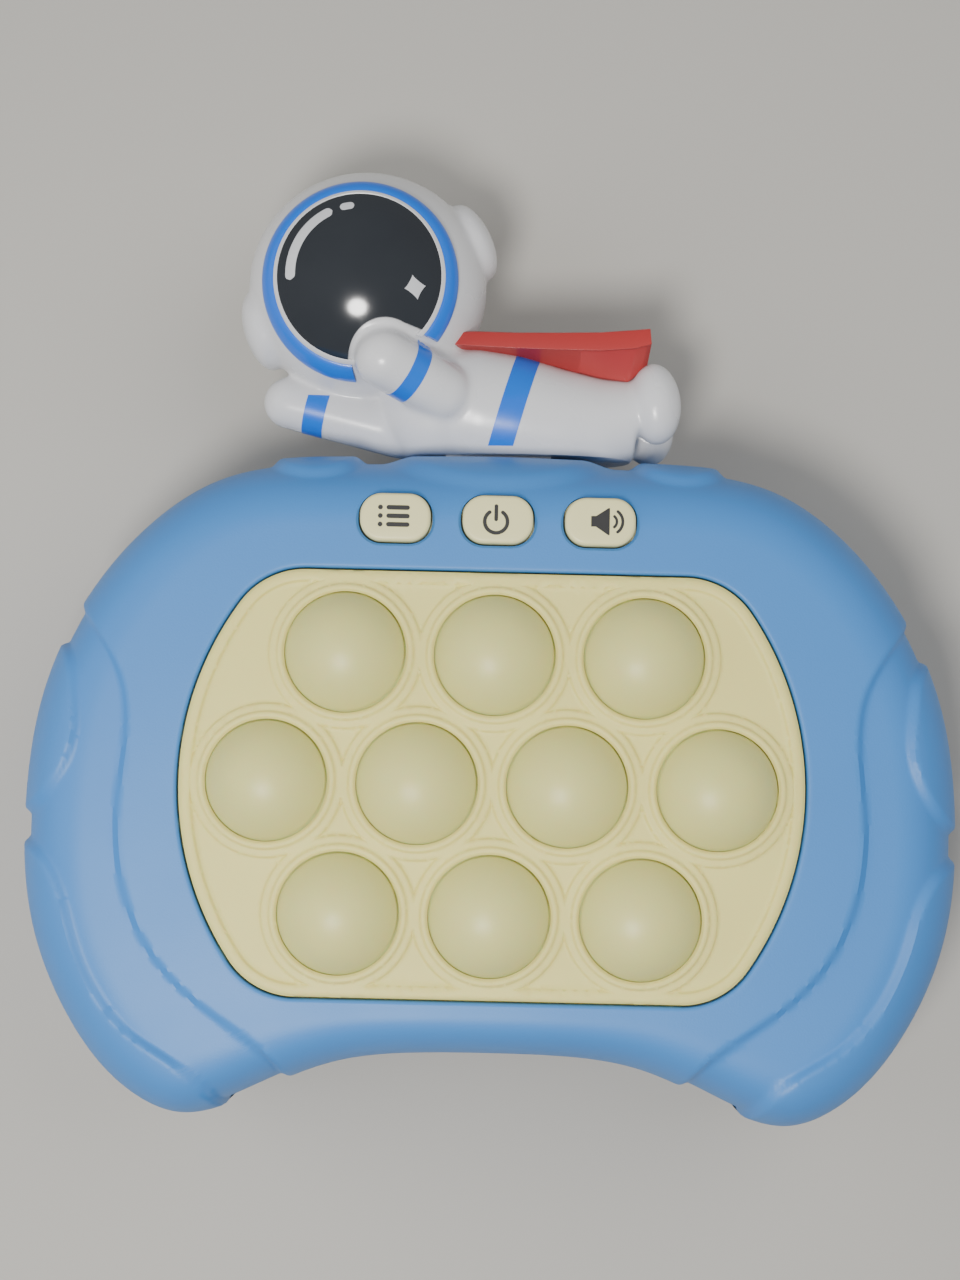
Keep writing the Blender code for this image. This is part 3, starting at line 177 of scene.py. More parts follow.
def clipped_disc(grow, steps=40):
    """The pad opening, larger by grow: a disc with a flat top and bottom and filleted corners."""
    fillet = OPENING_FILLET + grow
    y = OPENING_HALF_HEIGHT - OPENING_FILLET
    x = math.sqrt((OPENING_R - OPENING_FILLET) ** 2 - y**2)
    slope = math.atan2(y, x)
    side = np.linspace(-slope, slope, 2 * steps)
    bend = np.linspace(slope, math.pi / 2, steps)[1:]
    right = np.column_stack([np.cos(side), np.sin(side)]) * (OPENING_R + grow)
    corner = np.column_stack([x + fillet * np.cos(bend), y + fillet * np.sin(bend)])
    half = np.vstack([corner[::-1] * (1, -1), right, corner])
    flat = np.linspace(1, -1, steps)[1:-1, None] * corner[-1:, 0]
    top = np.column_stack([flat, np.full(len(flat), corner[-1, 1])])
    return np.vstack([half, top, half[::-1] * (-1, 1), -top])


def smooth(low, high, value):
    share = np.clip((value - low) / (high - low), 0, 1)
    return share * share * (3 - 2 * share)


def inside_by(loop, points):
    """Distance from a closed loop, positive inside it."""
    along = np.roll(loop, -1, axis=0) - loop
    offset = points[:, None, :] - loop[None]
    share = np.clip((offset * along).sum(2) / (along**2).sum(1), 0, 1)
    distance = np.linalg.norm(offset - share[..., None] * along, axis=2).min(1)
    x, y = points[:, 0:1], points[:, 1:2]
    start, end = loop, np.roll(loop, -1, axis=0)
    spans = (start[:, 1] > y) != (end[:, 1] > y)
    with np.errstate(divide="ignore", invalid="ignore"):
        crossing = start[:, 0] + (y - start[:, 1]) / (end[:, 1] - start[:, 1]) * (end[:, 0] - start[:, 0])
    inside = (spans & (x < crossing)).sum(1) % 2 == 1
    return np.where(inside, distance, -distance)


half = CASE_HALF_OUTLINE
case_loop = [half[0], *[(-x, y) for x, y in half[1:]], (0.0, half[-1][1] + 0.1), *reversed(half[1:])]
outline = closed_curve(case_loop, AROUND)
dense = closed_curve(case_loop, 6 * AROUND)
tree = kdtree.KDTree(len(dense))
for i, (x, y) in enumerate(dense):
    tree.insert((x, y, 0.0), i)
tree.balance()
SHARES = np.linspace(0, 0.6, 61)
depth_table = np.array([[tree.find((*(p * (1 - share)), 0.0))[2] for p in outline] for share in SHARES])
depth_table[0] = 0.0
depth_table = np.maximum.accumulate(depth_table, axis=0)


def ring_at(depth, z):
    """The case outline moved in by a depth, which may differ round the ring, at height z."""
    depth = np.broadcast_to(depth, (AROUND,))
    low = np.clip((depth_table <= depth).sum(0) - 1, 0, len(SHARES) - 2)
    column = np.arange(AROUND)
    near, far = depth_table[low, column], depth_table[low + 1, column]
    step = SHARES[1] - SHARES[0]
    share = SHARES[low] + step * np.clip((depth - near) / np.maximum(far - near, 1e-9), 0, 1)
    flat = outline * (1 - share)[:, None]
    return np.column_stack([flat, np.broadcast_to(z, (AROUND,))])


def edge_rings(base, crown, inset, count):
    """Rings of the rounded edge from the middle plane to a face's flat, evenly spread near the flat."""
    rings = []
    late = np.linspace(math.cos(1.4) ** (2 / ROUND_POWER), 0, count // 5 + 1)[1:] ** (ROUND_POWER / 2)
    for angle in [*np.linspace(0, 1.4, count - len(late)), *np.arccos(late)]:
        share = 1 - math.cos(angle) ** (2 / ROUND_POWER) if angle < 1.57 else 1.0
        height = math.sin(angle) ** (2 / ROUND_POWER)
        rings.append(ring_at(inset + (reach - inset) * share, base + (crown - base) * height))
    return rings


def opening_ring(grow, z):
    """The opening's edge, met along the same rays as the outline."""
    loop = clipped_disc(grow)
    angles = np.arctan2(loop[:, 1], loop[:, 0])
    order = np.argsort(angles)
    wanted = np.arctan2(outline[:, 1], outline[:, 0])
    radius = np.interp(wanted, angles[order], np.linalg.norm(loop, axis=1)[order], period=2 * math.pi)
    return np.column_stack([radius * np.cos(wanted), radius * np.sin(wanted), np.full(AROUND, z)])


# The edge rounding runs in this far, and stays short of the opening where the case is narrow.
mouth_depth = np.array([tree.find((*p, 0.0))[2] for p in opening_ring(OPENING_LIP, 0.0)[:, :2]])
room = 0.9 * np.minimum.reduce([-inside_by(clipped_disc(0.0), outline), depth_table[-1], mouth_depth])
reach = (EDGE_ROUND**-6.0 + room**-6.0) ** (-1 / 6)
panel = closed_curve(GRIP_PANEL, 120)
upper_lip = closed_curve(UPPER_LIP, 90)
lower_lip = closed_curve(LOWER_LIP, 100)


def swell(points, shape):
    x, y, half_width, drop = shape
    across = np.abs(np.abs(points[:, 0]) - x) / half_width
    down = (y - points[:, 1]) / drop
    return 1 - smooth(0.72, 1.0, np.hypot(across, np.maximum(down, 0)))


def relief(points):
    """How far the skin stands out at each place: grips, their lips, the shelf and the shoulders."""
    flat = np.column_stack([np.abs(points[:, 0]), points[:, 1]])
    half_step = GRIP_STEP / 2
    rise = -GRIP_SINK * smooth(-half_step, half_step, inside_by(panel, flat))
    rise += GRIP_SINK * smooth(-half_step, half_step, inside_by(upper_lip, flat))
    rise += GRIP_SINK * smooth(-half_step, half_step, inside_by(lower_lip, flat))
    fade = smooth(11.0, 17.0, np.abs(points[:, 2] - PART_Z))
    rise += SHELF_RISE * swell(points, SHELF) * (1 - SHELF_FADE * fade)
    rise += SHOULDER_RISE * swell(points, SHOULDER) * (1 - SHOULDER_FADE * fade)
    return rise


def raise_relief(rings, faces_up, flat_from=None):
    """Moves the skin out along its normals. The rings from flat_from on lie in the flat face."""
    skin = np.array(rings)
    around = np.roll(skin, -1, axis=1) - np.roll(skin, 1, axis=1)
    inward = np.gradient(skin, axis=0)
    normal = np.cross(around, inward) * (1 if faces_up else -1)
    normal /= np.maximum(np.linalg.norm(normal, axis=2, keepdims=True), 1e-9)
    normal[0, :, 2] = 0.0
    if flat_from:
        normal[flat_from:] = (0.0, 0.0, 1.0)
    flat = skin.reshape(-1, 3)
    moved = flat + normal.reshape(-1, 3) * relief(flat)[:, None]
    return list(moved.reshape(skin.shape))


def link_mesh(name, points, faces):
    """A mesh object from points in millimetres round the bubble field."""
    mesh = bpy.data.meshes.new(name)
    mesh.from_pydata([tuple(p) for p in np.asarray(points, float)], [], faces)
    mesh.transform(Matrix.Translation(place(0, 0, 0)) @ Matrix.Scale(MM, 4))
    obj = bpy.data.objects.new(name, mesh)
    bpy.context.scene.collection.objects.link(obj)
    return obj


def loft(rings, closed_path=False, flip=False, first=0):
    """Points and faces that skin rings of equal length, with both ends filled or joined."""
    count = len(rings[0])
    points = np.concatenate([np.asarray(ring, float) for ring in rings])
    pairs = [(k, k + 1) for k in range(len(rings) - 1)]
    if closed_path:
        pairs.append((len(rings) - 1, 0))
    faces = []
    for low, high in pairs:
        for i in range(count):
            j = (i + 1) % count
            faces.append((low * count + i, low * count + j, high * count + j, high * count + i))
    if not closed_path:
        last = (len(rings) - 1) * count
        faces.append(tuple(reversed(range(count))))
        faces.append(tuple(range(last, last + count)))
    if flip:
        faces = [tuple(reversed(face)) for face in faces]
    return points, [tuple(first + i for i in face) for face in faces]


def circle(radius, centre=(0.0, 0.0), steps=32):
    a = np.arange(steps) * 2 * math.pi / steps
    return np.column_stack([centre[0] + radius * np.cos(a), centre[1] + radius * np.sin(a)])


def at_height(loop, z):
    loop = np.asarray(loop, float)
    return np.column_stack([loop, np.full(len(loop), z)])


def rounded_rectangle(width, height, corner, centre=(0.0, 0.0), steps=10):
    loop = []
    for sx, sy, start in ((1, 1, 0), (-1, 1, 90), (-1, -1, 180), (1, -1, 270)):
        for a in np.radians(np.linspace(start, start + 90, steps)):
            loop.append((centre[0] + sx * (width / 2 - corner) + corner * math.cos(a),
                         centre[1] + sy * (height / 2 - corner) + corner * math.sin(a)))
    return np.array(loop)


def turned(profile, centre=(0.0, 0.0), steps=32):
    return loft([at_height(circle(r, centre, steps), z) for r, z in profile])


def prism(loop, low, high):
    return loft([at_height(loop, low), at_height(loop, high)])


def several(shapes):
    points, faces, first = [], [], 0
    for shape_points, shape_faces in shapes:
        points.append(shape_points)
        faces += [tuple(first + i for i in face) for face in shape_faces]
        first += len(shape_points)
    return np.concatenate(points), faces


def bake(obj):
    """Makes what the modifiers give into the object's own mesh."""
    graph = bpy.context.evaluated_depsgraph_get()
    mesh = bpy.data.meshes.new_from_object(obj.evaluated_get(graph))
    obj.modifiers.clear()
    obj.data = mesh
    return obj


def carve(obj, steps):
    """Runs (operation, shapes) in turn on the object, each with a throwaway tool."""
    tools = []
    for operation, shapes in steps:
        tool = link_mesh(f"{obj.name}_tool", *several(shapes))
        modifier = obj.modifiers.new(operation, "BOOLEAN")
        modifier.operation = operation
        modifier.solver = "MANIFOLD"
        modifier.object = tool
        tools.append(tool)
    bake(obj)
    for tool in tools:
        bpy.data.objects.remove(tool)
    return obj


def round_shade(obj, degrees=35):
    obj.data.shade_smooth()
    obj.data.set_sharp_from_angle(angle=math.radians(degrees))


def moulded(name, colour, roughness, second=None, grain=0.02, grain_size=0.35, patches=18.0, **sockets):
    """Plastic, silicone, metal or paint: two close tones in soft patches under a fine even grain."""
    material = bpy.data.materials.new(name)
    material.use_nodes = True
    nodes, links = material.node_tree.nodes, material.node_tree.links
    shader = nodes["Principled BSDF"]
    coordinates = nodes.new("ShaderNodeTexCoord")
    cloud = nodes.new("ShaderNodeTexNoise")
    cloud.inputs["Scale"].default_value = 1 / (patches * MM)
    cloud.inputs["Detail"].default_value = 4.0
    links.new(coordinates.outputs["Object"], cloud.inputs["Vector"])
    tone = nodes.new("ShaderNodeMix")
    tone.data_type = "RGBA"
    tone.inputs[6].default_value = (*colour, 1.0)
    tone.inputs[7].default_value = (*(second or [c * 0.93 for c in colour]), 1.0)
    links.new(cloud.outputs["Fac"], tone.inputs[0])
    links.new(tone.outputs[2], shader.inputs["Base Color"])
    sheen = nodes.new("ShaderNodeMapRange")
    sheen.inputs["To Min"].default_value = roughness - 0.05
    sheen.inputs["To Max"].default_value = roughness + 0.05
    links.new(cloud.outputs["Fac"], sheen.inputs["Value"])
    links.new(sheen.outputs["Result"], shader.inputs["Roughness"])
    pores = nodes.new("ShaderNodeTexNoise")
    pores.inputs["Scale"].default_value = 1 / (grain_size * MM)
    pores.inputs["Detail"].default_value = 3.0
    links.new(coordinates.outputs["Object"], pores.inputs["Vector"])
    bump = nodes.new("ShaderNodeBump")
    bump.inputs["Strength"].default_value = 0.5
    bump.inputs["Distance"].default_value = grain * MM
    links.new(pores.outputs["Fac"], bump.inputs["Height"])
    links.new(bump.outputs["Normal"], shader.inputs["Normal"])
    for socket, value in sockets.items():
        shader.inputs[socket.replace("_", " ")].default_value = value
    return material


def paint(obj, material):
    obj.data.materials.clear()
    obj.data.materials.append(material)


def finish_piece(obj, material, slot, body, *nodes):
    """Paints a piece, hangs it on its body and lets it stand for CAD nodes."""
    paint(obj, material)
    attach(obj, body)
    if nodes:
        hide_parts(*nodes)
    return obj


CASE_PAINT = moulded("sky_blue_abs", (0.052, 0.222, 0.56), 0.48, (0.045, 0.205, 0.53),
                     grain=0.035, grain_size=0.3)
SCREW_PLACES = [(sx * x, y) for x, y in ((36.4, 34.9), (55.0, 8.0), (43.0, -37.2)) for sx in (1, -1)]
BOARD_SCREW_PLACES = [(sx * 45.6, sy * 16.5) for sx in (1, -1) for sy in (1, -1)]
BUTTON_PITCH, BUTTON_ROW_Y = 13.8, 35.6
BUTTON_PLACES = [((i - 1) * BUTTON_PITCH, BUTTON_ROW_Y) for i in range(3)]
BUTTON_SIZE, BUTTON_CORNER, BUTTON_GAP = (9.5, 6.5), 2.9, 0.25
BUTTON_FLARE = 0.5
BUTTON_REBATE = (39.7, 9.1)
PAD_REBATE, PAD_REBATE_Z = 2.5, 29.3
LIP_Z = FACE_Z - WALL
BOSS_R, BOARD_BOSS_R, FOOT_R, PILOT_R = 3.4, 2.6, 3.6, 1.25
BOARD_SEAT_Z, FOOT_Z = 24.9, 14.3
SKIN_COVER = 0.9  # plastic left between a boss and the outer skin


def button_loop(grow, centre):
    width, height = BUTTON_SIZE
    return rounded_rectangle(width + 2 * grow, height + 2 * grow, BUTTON_CORNER + grow, centre)


def skin_depth(centre, radius):
    """How far the rounded skin is from the middle plane over a boss's outer edge, as a share of the whole."""
    distance = tree.find((*centre, 0.0))[2] - radius
    return (1 - (1 - min(1.0, distance / EDGE_ROUND)) ** ROUND_POWER) ** (1 / ROUND_POWER)


def stem_slot(side):
    """The slot in the top edge that the figure's stem passes through."""
    low, high = sorted((PART_Z - side * SLOT_OVERRUN, PART_Z + side * (STEM_DEPTH + STEM_GAP)))
    return prism(rounded_rectangle(STEM_WIDTH + 2 * STEM_GAP, 9.0, 0.1, (0.0, 42.9), 2), low, high)


def peg(radius, low, high, centre, steps=32):
    return turned([(radius, low), (radius, high)], centre, steps)


EDGE_RINGS, FLAT_RINGS = 46, 28
front_base = PART_Z + SEAM / 2
tongue_z = PART_Z - TONGUE_DROP
skin = edge_rings(front_base, FACE_Z, 0.0, EDGE_RINGS)
edge_of_flat = skin[-1]
mouth = opening_ring(OPENING_LIP, FACE_Z)
for share in np.linspace(0, 1, FLAT_RINGS)[1:]:
    skin.append(edge_of_flat * (1 - share) + mouth * share)
skin = raise_relief(skin, True, flat_from=EDGE_RINGS - 1)
for angle in np.radians((22, 45, 67, 90)):
    drop = OPENING_LIP * (1 - math.cos(angle))
    skin.append(opening_ring(OPENING_LIP * (1 - math.sin(angle)), FACE_Z - drop))
skin.append(opening_ring(0.0, LIP_Z))
skin += edge_rings(front_base, LIP_Z, WALL, 9)[::-1][:-1]
tongue = [(TONGUE_INNER, PART_Z + 1.6), (TONGUE_INNER, tongue_z), (TONGUE_OUTER, tongue_z),
          (TONGUE_OUTER, front_base)]
skin += [ring_at(depth, z) for depth, z in tongue]
front_case = link_mesh("front_shell", *loft(skin, closed_path=True))
bosses = []
for p in SCREW_PLACES:
    boss_top = PART_Z + (FACE_Z - PART_Z) * skin_depth(p, BOSS_R) - SKIN_COVER
    bosses.append(peg(BOSS_R, PART_Z + 2.0, boss_top, p))
bosses += [peg(BOARD_BOSS_R, BOARD_SEAT_Z, LIP_Z + 0.6, p, 20) for p in BOARD_SCREW_PLACES]
feet = [peg(FOOT_R, FOOT_Z, PART_Z + 4.0, p) for p in SCREW_PLACES]
bores = [peg(PILOT_R, 13.0, 23.3, p, 16) for p in SCREW_PLACES]
bores += [peg(PILOT_R, 23.6, 33.5, p, 16) for p in BOARD_SCREW_PLACES]
button_holes = []
for p in BUTTON_PLACES:
    straight, flared = button_loop(BUTTON_GAP, p), button_loop(BUTTON_GAP + BUTTON_FLARE, p)
    levels = [(straight, LIP_Z - 3), (straight, FACE_Z - 0.35), (flared, FACE_Z + 0.15), (flared, FACE_Z + 3)]
    button_holes.append(loft([at_height(loop, z) for loop, z in levels]))
pad_rebate = [prism(clipped_disc(PAD_REBATE), PAD_REBATE_Z, LIP_Z + 0.1)]
rebate_loop = rounded_rectangle(*BUTTON_REBATE, 1.0, (0.0, BUTTON_ROW_Y), 3)
button_rebate = [prism(rebate_loop, LIP_Z - 6, LIP_Z + 0.2)]
cuts = [bores, button_holes, pad_rebate, button_rebate, [stem_slot(1)]]
carve(front_case, [("UNION", bosses), ("UNION", feet), *[("DIFFERENCE", cut) for cut in cuts]])
round_shade(front_case)
finish_piece(front_case, CASE_PAINT, CASE_SLOT, "toy", "front_case")


def plan_of(name):
    """The middle, size and top of a CAD node, in millimetres."""
    low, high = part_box(name)
    middle = [((high[k] + low[k]) / 2 - FIELD[k]) / MM for k in (0, 1)]
    return middle, [(high[k] - low[k]) / MM for k in range(3)], high.z / MM


door_centre, door_size, door_top_z = plan_of("battery_door")
speaker_centre, speaker_size, _ = plan_of("speaker")
speaker_r = speaker_size[0] / 2
DOOR_CORNER, DOOR_GAP, DOOR_LEDGE = 3.0, 0.3, 1.9
DOOR_SCREW_PLACE, DOOR_BOSS_R = (14.65, -3.0), 2.6
BAY_CENTRE, BAY_SIZE, BAY_WALL, BAY_TOP_Z = (-17.0, -3.0), (51.3, 32.7), 1.6, 12.45
GRILLE_R, GRILLE_PITCH, GRILLE_ROWS = 0.9, 3.6, 5
SPEAKER_WALL, SPEAKER_WALL_Z, SPEAKER_GAP, SPEAKER_CUT_Z = 1.6, 8.5, 0.3, 12.0
WELL_MOUTH_R, WELL_R, WELL_FLOOR_Z, COLUMN_Z = 2.9, 2.45, 12.0, 14.0


def door_loop(grow):
    width, height = door_size[0] + 2 * grow, door_size[1] + 2 * grow
    return rounded_rectangle(width, height, DOOR_CORNER + grow, door_centre)


rear_base = PART_Z - SEAM / 2
groove_depth, groove_z = TONGUE_OUTER - TONGUE_GAP, tongue_z - TONGUE_GAP
skin = raise_relief(edge_rings(rear_base, 0.0, 0.0, EDGE_RINGS), False)
inner = edge_rings(rear_base, WALL, WALL, 9)
groove = [(groove_depth, rear_base), (groove_depth, groove_z), (WALL, groove_z)]
path = [*skin[::-1], *[ring_at(depth, z) for depth, z in groove], *inner[1:]]
rear_case = link_mesh("rear_shell", *loft(path))
bay_loop = [(BAY_CENTRE[0] + sx * BAY_SIZE[0] / 2, BAY_CENTRE[1] + sy * BAY_SIZE[1] / 2)
            for sx, sy in ((-1, -1), (1, -1), (1, 1), (-1, 1))]
bay_outer = rounded_rectangle(BAY_SIZE[0] + 2 * BAY_WALL, BAY_SIZE[1] + 2 * BAY_WALL, 1.0, BAY_CENTRE, 3)
grille = []
for row in range(-(GRILLE_ROWS // 2), GRILLE_ROWS // 2 + 1):
    count = GRILLE_ROWS - abs(row)
    for i in range(count):
        x = speaker_centre[0] + (i - (count - 1) / 2) * GRILLE_PITCH
        y = speaker_centre[1] + row * GRILLE_PITCH * math.sqrt(3) / 2
        grille.append(peg(GRILLE_R, -1.0, WALL + 0.5, (x, y), 16))
columns = []
for p in SCREW_PLACES:
    columns.append(peg(BOSS_R, PART_Z * (1 - skin_depth(p, BOSS_R)) + SKIN_COVER, COLUMN_Z, p))
columns.append(peg(speaker_r + SPEAKER_WALL, 1.0, SPEAKER_WALL_Z, speaker_centre, 64))
frames = [prism(door_loop(DOOR_LEDGE), 0.8, door_top_z + DOOR_LEDGE)]
boxes = [prism(bay_outer, 1.0, BAY_TOP_Z + BAY_WALL)]
door_boss = [peg(DOOR_BOSS_R, 1.2, door_top_z + 6.3, DOOR_SCREW_PLACE, 24)]
well = [(WELL_MOUTH_R, -1.0), (WELL_MOUTH_R, 0.0), (WELL_R, 0.5), (WELL_R, WELL_FLOOR_Z),
        (PILOT_R, WELL_FLOOR_Z), (PILOT_R, PART_Z)]
wells = [turned(well, p) for p in SCREW_PLACES]
wells.append(peg(speaker_r + SPEAKER_GAP, WALL, SPEAKER_CUT_Z, speaker_centre, 64))
wells.append(peg(PILOT_R, 1.0, door_top_z + 5.3, DOOR_SCREW_PLACE, 16))
recess = [prism(door_loop(DOOR_GAP), -1.0, door_top_z + DOOR_GAP)]
bay = [prism(bay_loop, -1.0, BAY_TOP_Z)]
cuts = [grille, wells, recess, bay, [stem_slot(-1)]]
carve(rear_case, [*[("UNION", added) for added in (columns, frames, boxes, door_boss)],
                  *[("DIFFERENCE", cut) for cut in cuts]])
round_shade(rear_case)
finish_piece(rear_case, CASE_PAINT, CASE_SLOT, "toy", "rear_case")

# ---- Battery door and screws -----------------------------------------------------------------------
# A sky-blue ABS door set flush in the back, with finger grooves at one end and a captive screw at the
# other. The six case screws are zinc-plated steel, and sit deep in their wells.

STEEL = moulded("zinc_plated_steel", (0.56, 0.57, 0.58), 0.3, (0.44, 0.45, 0.46),
                grain=0.01, grain_size=0.15, patches=2.0, Metallic=1.0)


def coat(material, *names):
    """Gives CAD nodes that stay in view their real finish."""
    for name in names:
        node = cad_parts[name]
        for part in node.material_slots:
            part.material = material
        if not node.material_slots:
            node.data.materials.append(material)


coat(CASE_PAINT, "battery_door")
coat(STEEL, "battery_door_screw", *[f"case_screw_{i}" for i in range(1, 7)])

# ---- Bubble pad ------------------------------------------------------------------------------------
# One sheet of matt cream silicone, compression moulded. A raised border runs round it, and each bubble
# stands in a collar on a low pedestal; the floor between the pedestals is sunk.

PAD_FIT, PAD_BORDER = 0.3, 1.6
PAD_FLOOR_Z, PAD_RIM_Z, COLLAR_Z, PAD_UNDER_Z = 35.7, 36.2, 36.7, 32.3
DOME_R, DOME_HOLE_R, COLLAR_R, PEDESTAL_R = 7.9, 8.15, 9.15, 10.25
DOME_PITCH = 20.0
PAD_FLANGE, PAD_FLANGE_TOP_Z = 2.2, 33.7
DOME_PLACES = [
    ((i - (count - 1) / 2) * DOME_PITCH, row * DOME_PITCH * math.sqrt(3) / 2)
    for row, count in ((1, 3), (0, 4), (-1, 3))
    for i in range(count)
]


def pad_height(points):
    """Height of the silicone's top face: the highest of its floor, pedestals, border and collars."""
    radius = nearest_dome(points)
    inset = inside_by(pad_edge, points)
    raised = np.maximum(1 - smooth(PEDESTAL_R - 0.2, PEDESTAL_R + 0.2, radius),
                        1 - smooth(PAD_BORDER - 0.2, PAD_BORDER + 0.2, inset))
    height = PAD_FLOOR_Z + (PAD_RIM_Z - PAD_FLOOR_Z) * raised
    height = height + (COLLAR_Z - height) * (1 - smooth(COLLAR_R - 0.25, COLLAR_R + 0.2, radius))
    height -= 0.3 * (1 - smooth(DOME_HOLE_R, DOME_HOLE_R + 0.35, radius))
    return height - 0.35 * (1 - smooth(0.0, 0.45, inset))


def nearest_dome(points):
    """Distance of each point from the middle of the nearest bubble."""
    return np.min([np.hypot(points[:, 0] - x, points[:, 1] - y) for x, y in DOME_PLACES], axis=0)


PAD_EDGE_STEPS, HOLE_STEPS, FIELD_SPACING = 34, 88, 1.3
EDGE_INSETS = (0.1, 0.25, 0.45, 0.9, 1.35, 1.5, 1.6, 1.7, 1.85, 2.4)
DOME_RINGS = (8.15, 8.24, 8.33, 8.5, 8.9, 9.02, 9.15, 9.26, 9.37, 9.7, 10.05, 10.15, 10.25, 10.36, 10.46,
              10.8)
pad_edge = clipped_disc(-PAD_FIT, PAD_EDGE_STEPS)
dots = [pad_edge, *[clipped_disc(-PAD_FIT - inset, PAD_EDGE_STEPS) for inset in EDGE_INSETS]]
for x, y in DOME_PLACES:
    dots += [circle(r, (x, y), HOLE_STEPS) for r in DOME_RINGS]
columns_x, rows_y = np.arange(-41, 42, FIELD_SPACING), np.arange(-28, 29, FIELD_SPACING)
dots.append(np.array([(x, y) for x in columns_x for y in rows_y]))
dots = np.vstack(dots)
edge_count = len(pad_edge)
first_hole, per_dome = edge_count * (1 + len(EDGE_INSETS)), HOLE_STEPS * len(DOME_RINGS)
loops = [list(range(edge_count))]
for i in range(len(DOME_PLACES)):
    loops.append(list(range(first_hole + per_dome * i, first_hole + per_dome * i + HOLE_STEPS)))
edges = [(loop[k], loop[(k + 1) % len(loop)]) for loop in loops for k in range(len(loop))]
keep = (nearest_dome(dots) > DOME_HOLE_R - 1e-6) & (inside_by(pad_edge, dots) > 0.02)
keep[[i for loop in loops for i in loop]] = True
number = np.cumsum(keep) - 1
edges = [(int(number[a]), int(number[b])) for a, b in edges]
found = geometry.delaunay_2d_cdt([Vector(p) for p in dots[keep]], edges, [], 0, 1e-6)
flat_points = np.array([tuple(p) for p in found[0]])
triangles = np.array(found[2])
middles = flat_points[triangles].mean(axis=1)
triangles = triangles[(nearest_dome(middles) > DOME_HOLE_R - 0.01) & (inside_by(pad_edge, middles) > 0)]
top = np.column_stack([flat_points, pad_height(flat_points)])
under = np.column_stack([flat_points, np.full(len(top), PAD_UNDER_Z)])
faces = [tuple(t) for t in triangles]
faces += [tuple(t[::-1] + len(top)) for t in triangles]
sides = {}
for a, b, c in triangles:
    for edge in ((a, b), (b, c), (c, a)):
        sides[edge] = True
faces += [(int(b), int(a), int(a) + len(top), int(b) + len(top)) for a, b in sides if (b, a) not in sides]
pad = link_mesh("silicone_pad", np.vstack([top, under]), faces)
flange_low = PAD_UNDER_Z + 0.01
flange_path = [(-PAD_FIT - 0.5, flange_low), (PAD_FLANGE, flange_low), (PAD_FLANGE, PAD_FLANGE_TOP_Z),
               (-PAD_FIT - 0.5, PAD_FLANGE_TOP_Z)]
flange_rings = [at_height(clipped_disc(grow, PAD_EDGE_STEPS), z) for grow, z in flange_path]
carve(pad, [("UNION", [loft(flange_rings, closed_path=True)])])
round_shade(pad, 50)
PAD_SILICONE = moulded("cream_silicone", (0.74, 0.67, 0.23), 0.55, (0.71, 0.645, 0.225), grain=0.012,
                       grain_size=0.25, patches=24.0, Subsurface_Weight=0.12, Subsurface_Scale=0.002)
finish_piece(pad, PAD_SILICONE, "pad_cream", "toy", "bubble_pad")

# ---- Bubbles ---------------------------------------------------------------------------------------
# Ten thin domes of translucent silicone, a little greyer than the pad, so that the lamps shine through.
# Each is rooted in its collar and has a ring under its crown that meets the board. The real bubbles buckle
# when pressed; these domes are built at rest.

DOME_RISE, DOME_WALL = 5.0, 1.2
DOME_SILICONE = moulded("translucent_silicone", (0.68, 0.645, 0.25), 0.42, (0.65, 0.62, 0.24),
                        grain=0.006, grain_size=0.2, patches=6.0, Subsurface_Weight=0.35,
                        Subsurface_Scale=0.004, Transmission_Weight=0.04)
LEG_PROFILE = [(4.0, 27.9), (5.4, 27.9), (5.4, 38.9), (4.0, 39.3)]
cap_r = (DOME_R**2 + DOME_RISE**2) / (2 * DOME_RISE)
cap_z = COLLAR_Z + DOME_RISE - cap_r
full = math.asin(DOME_R / cap_r)
inner_r = DOME_R - DOME_WALL
inside_r = cap_r - DOME_WALL
fit_r = DOME_HOLE_R - 0.02
profile = [(inside_r * math.sin(a), cap_z + inside_r * math.cos(a)) for a in np.linspace(0.004, full, 20)]
profile += [
    (inner_r, COLLAR_Z - 1.0), (inner_r, PAD_UNDER_Z), (DOME_R, PAD_UNDER_Z), (DOME_R, COLLAR_Z - 1.2),
    (fit_r, COLLAR_Z - 1.1), (fit_r, COLLAR_Z - 0.75), (DOME_R, COLLAR_Z - 0.6), (DOME_R, COLLAR_Z - 0.25),
]
profile += [(cap_r * math.sin(a), cap_z + cap_r * math.cos(a)) for a in np.linspace(full, 0.004, 26)]
for number, (x, y) in enumerate(DOME_PLACES, 1):
    body = f"bubble_{number}_body"
    dome = link_mesh(f"dome_{number}", *turned(profile, (x, y), 72))
    round_shade(dome, 50)
    paint(dome, DOME_SILICONE)
    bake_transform(dome)
    leg_rings = [at_height(circle(r, (x, y), 40), z) for r, z in LEG_PROFILE]
    leg = link_mesh(f"contact_leg_{number}", *loft(leg_rings, closed_path=True))
    round_shade(leg)
    finish_piece(leg, DOME_SILICONE, "dome_cream", body)
    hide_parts(f"bubble_{number}")

# ---- Function buttons ------------------------------------------------------------------------------
# Three cream keys in a row above the bubbles, moulded in ABS with soft edges. Each has a generic icon
# pad-printed in dark grey ink: a list, a power sign and a loudspeaker.

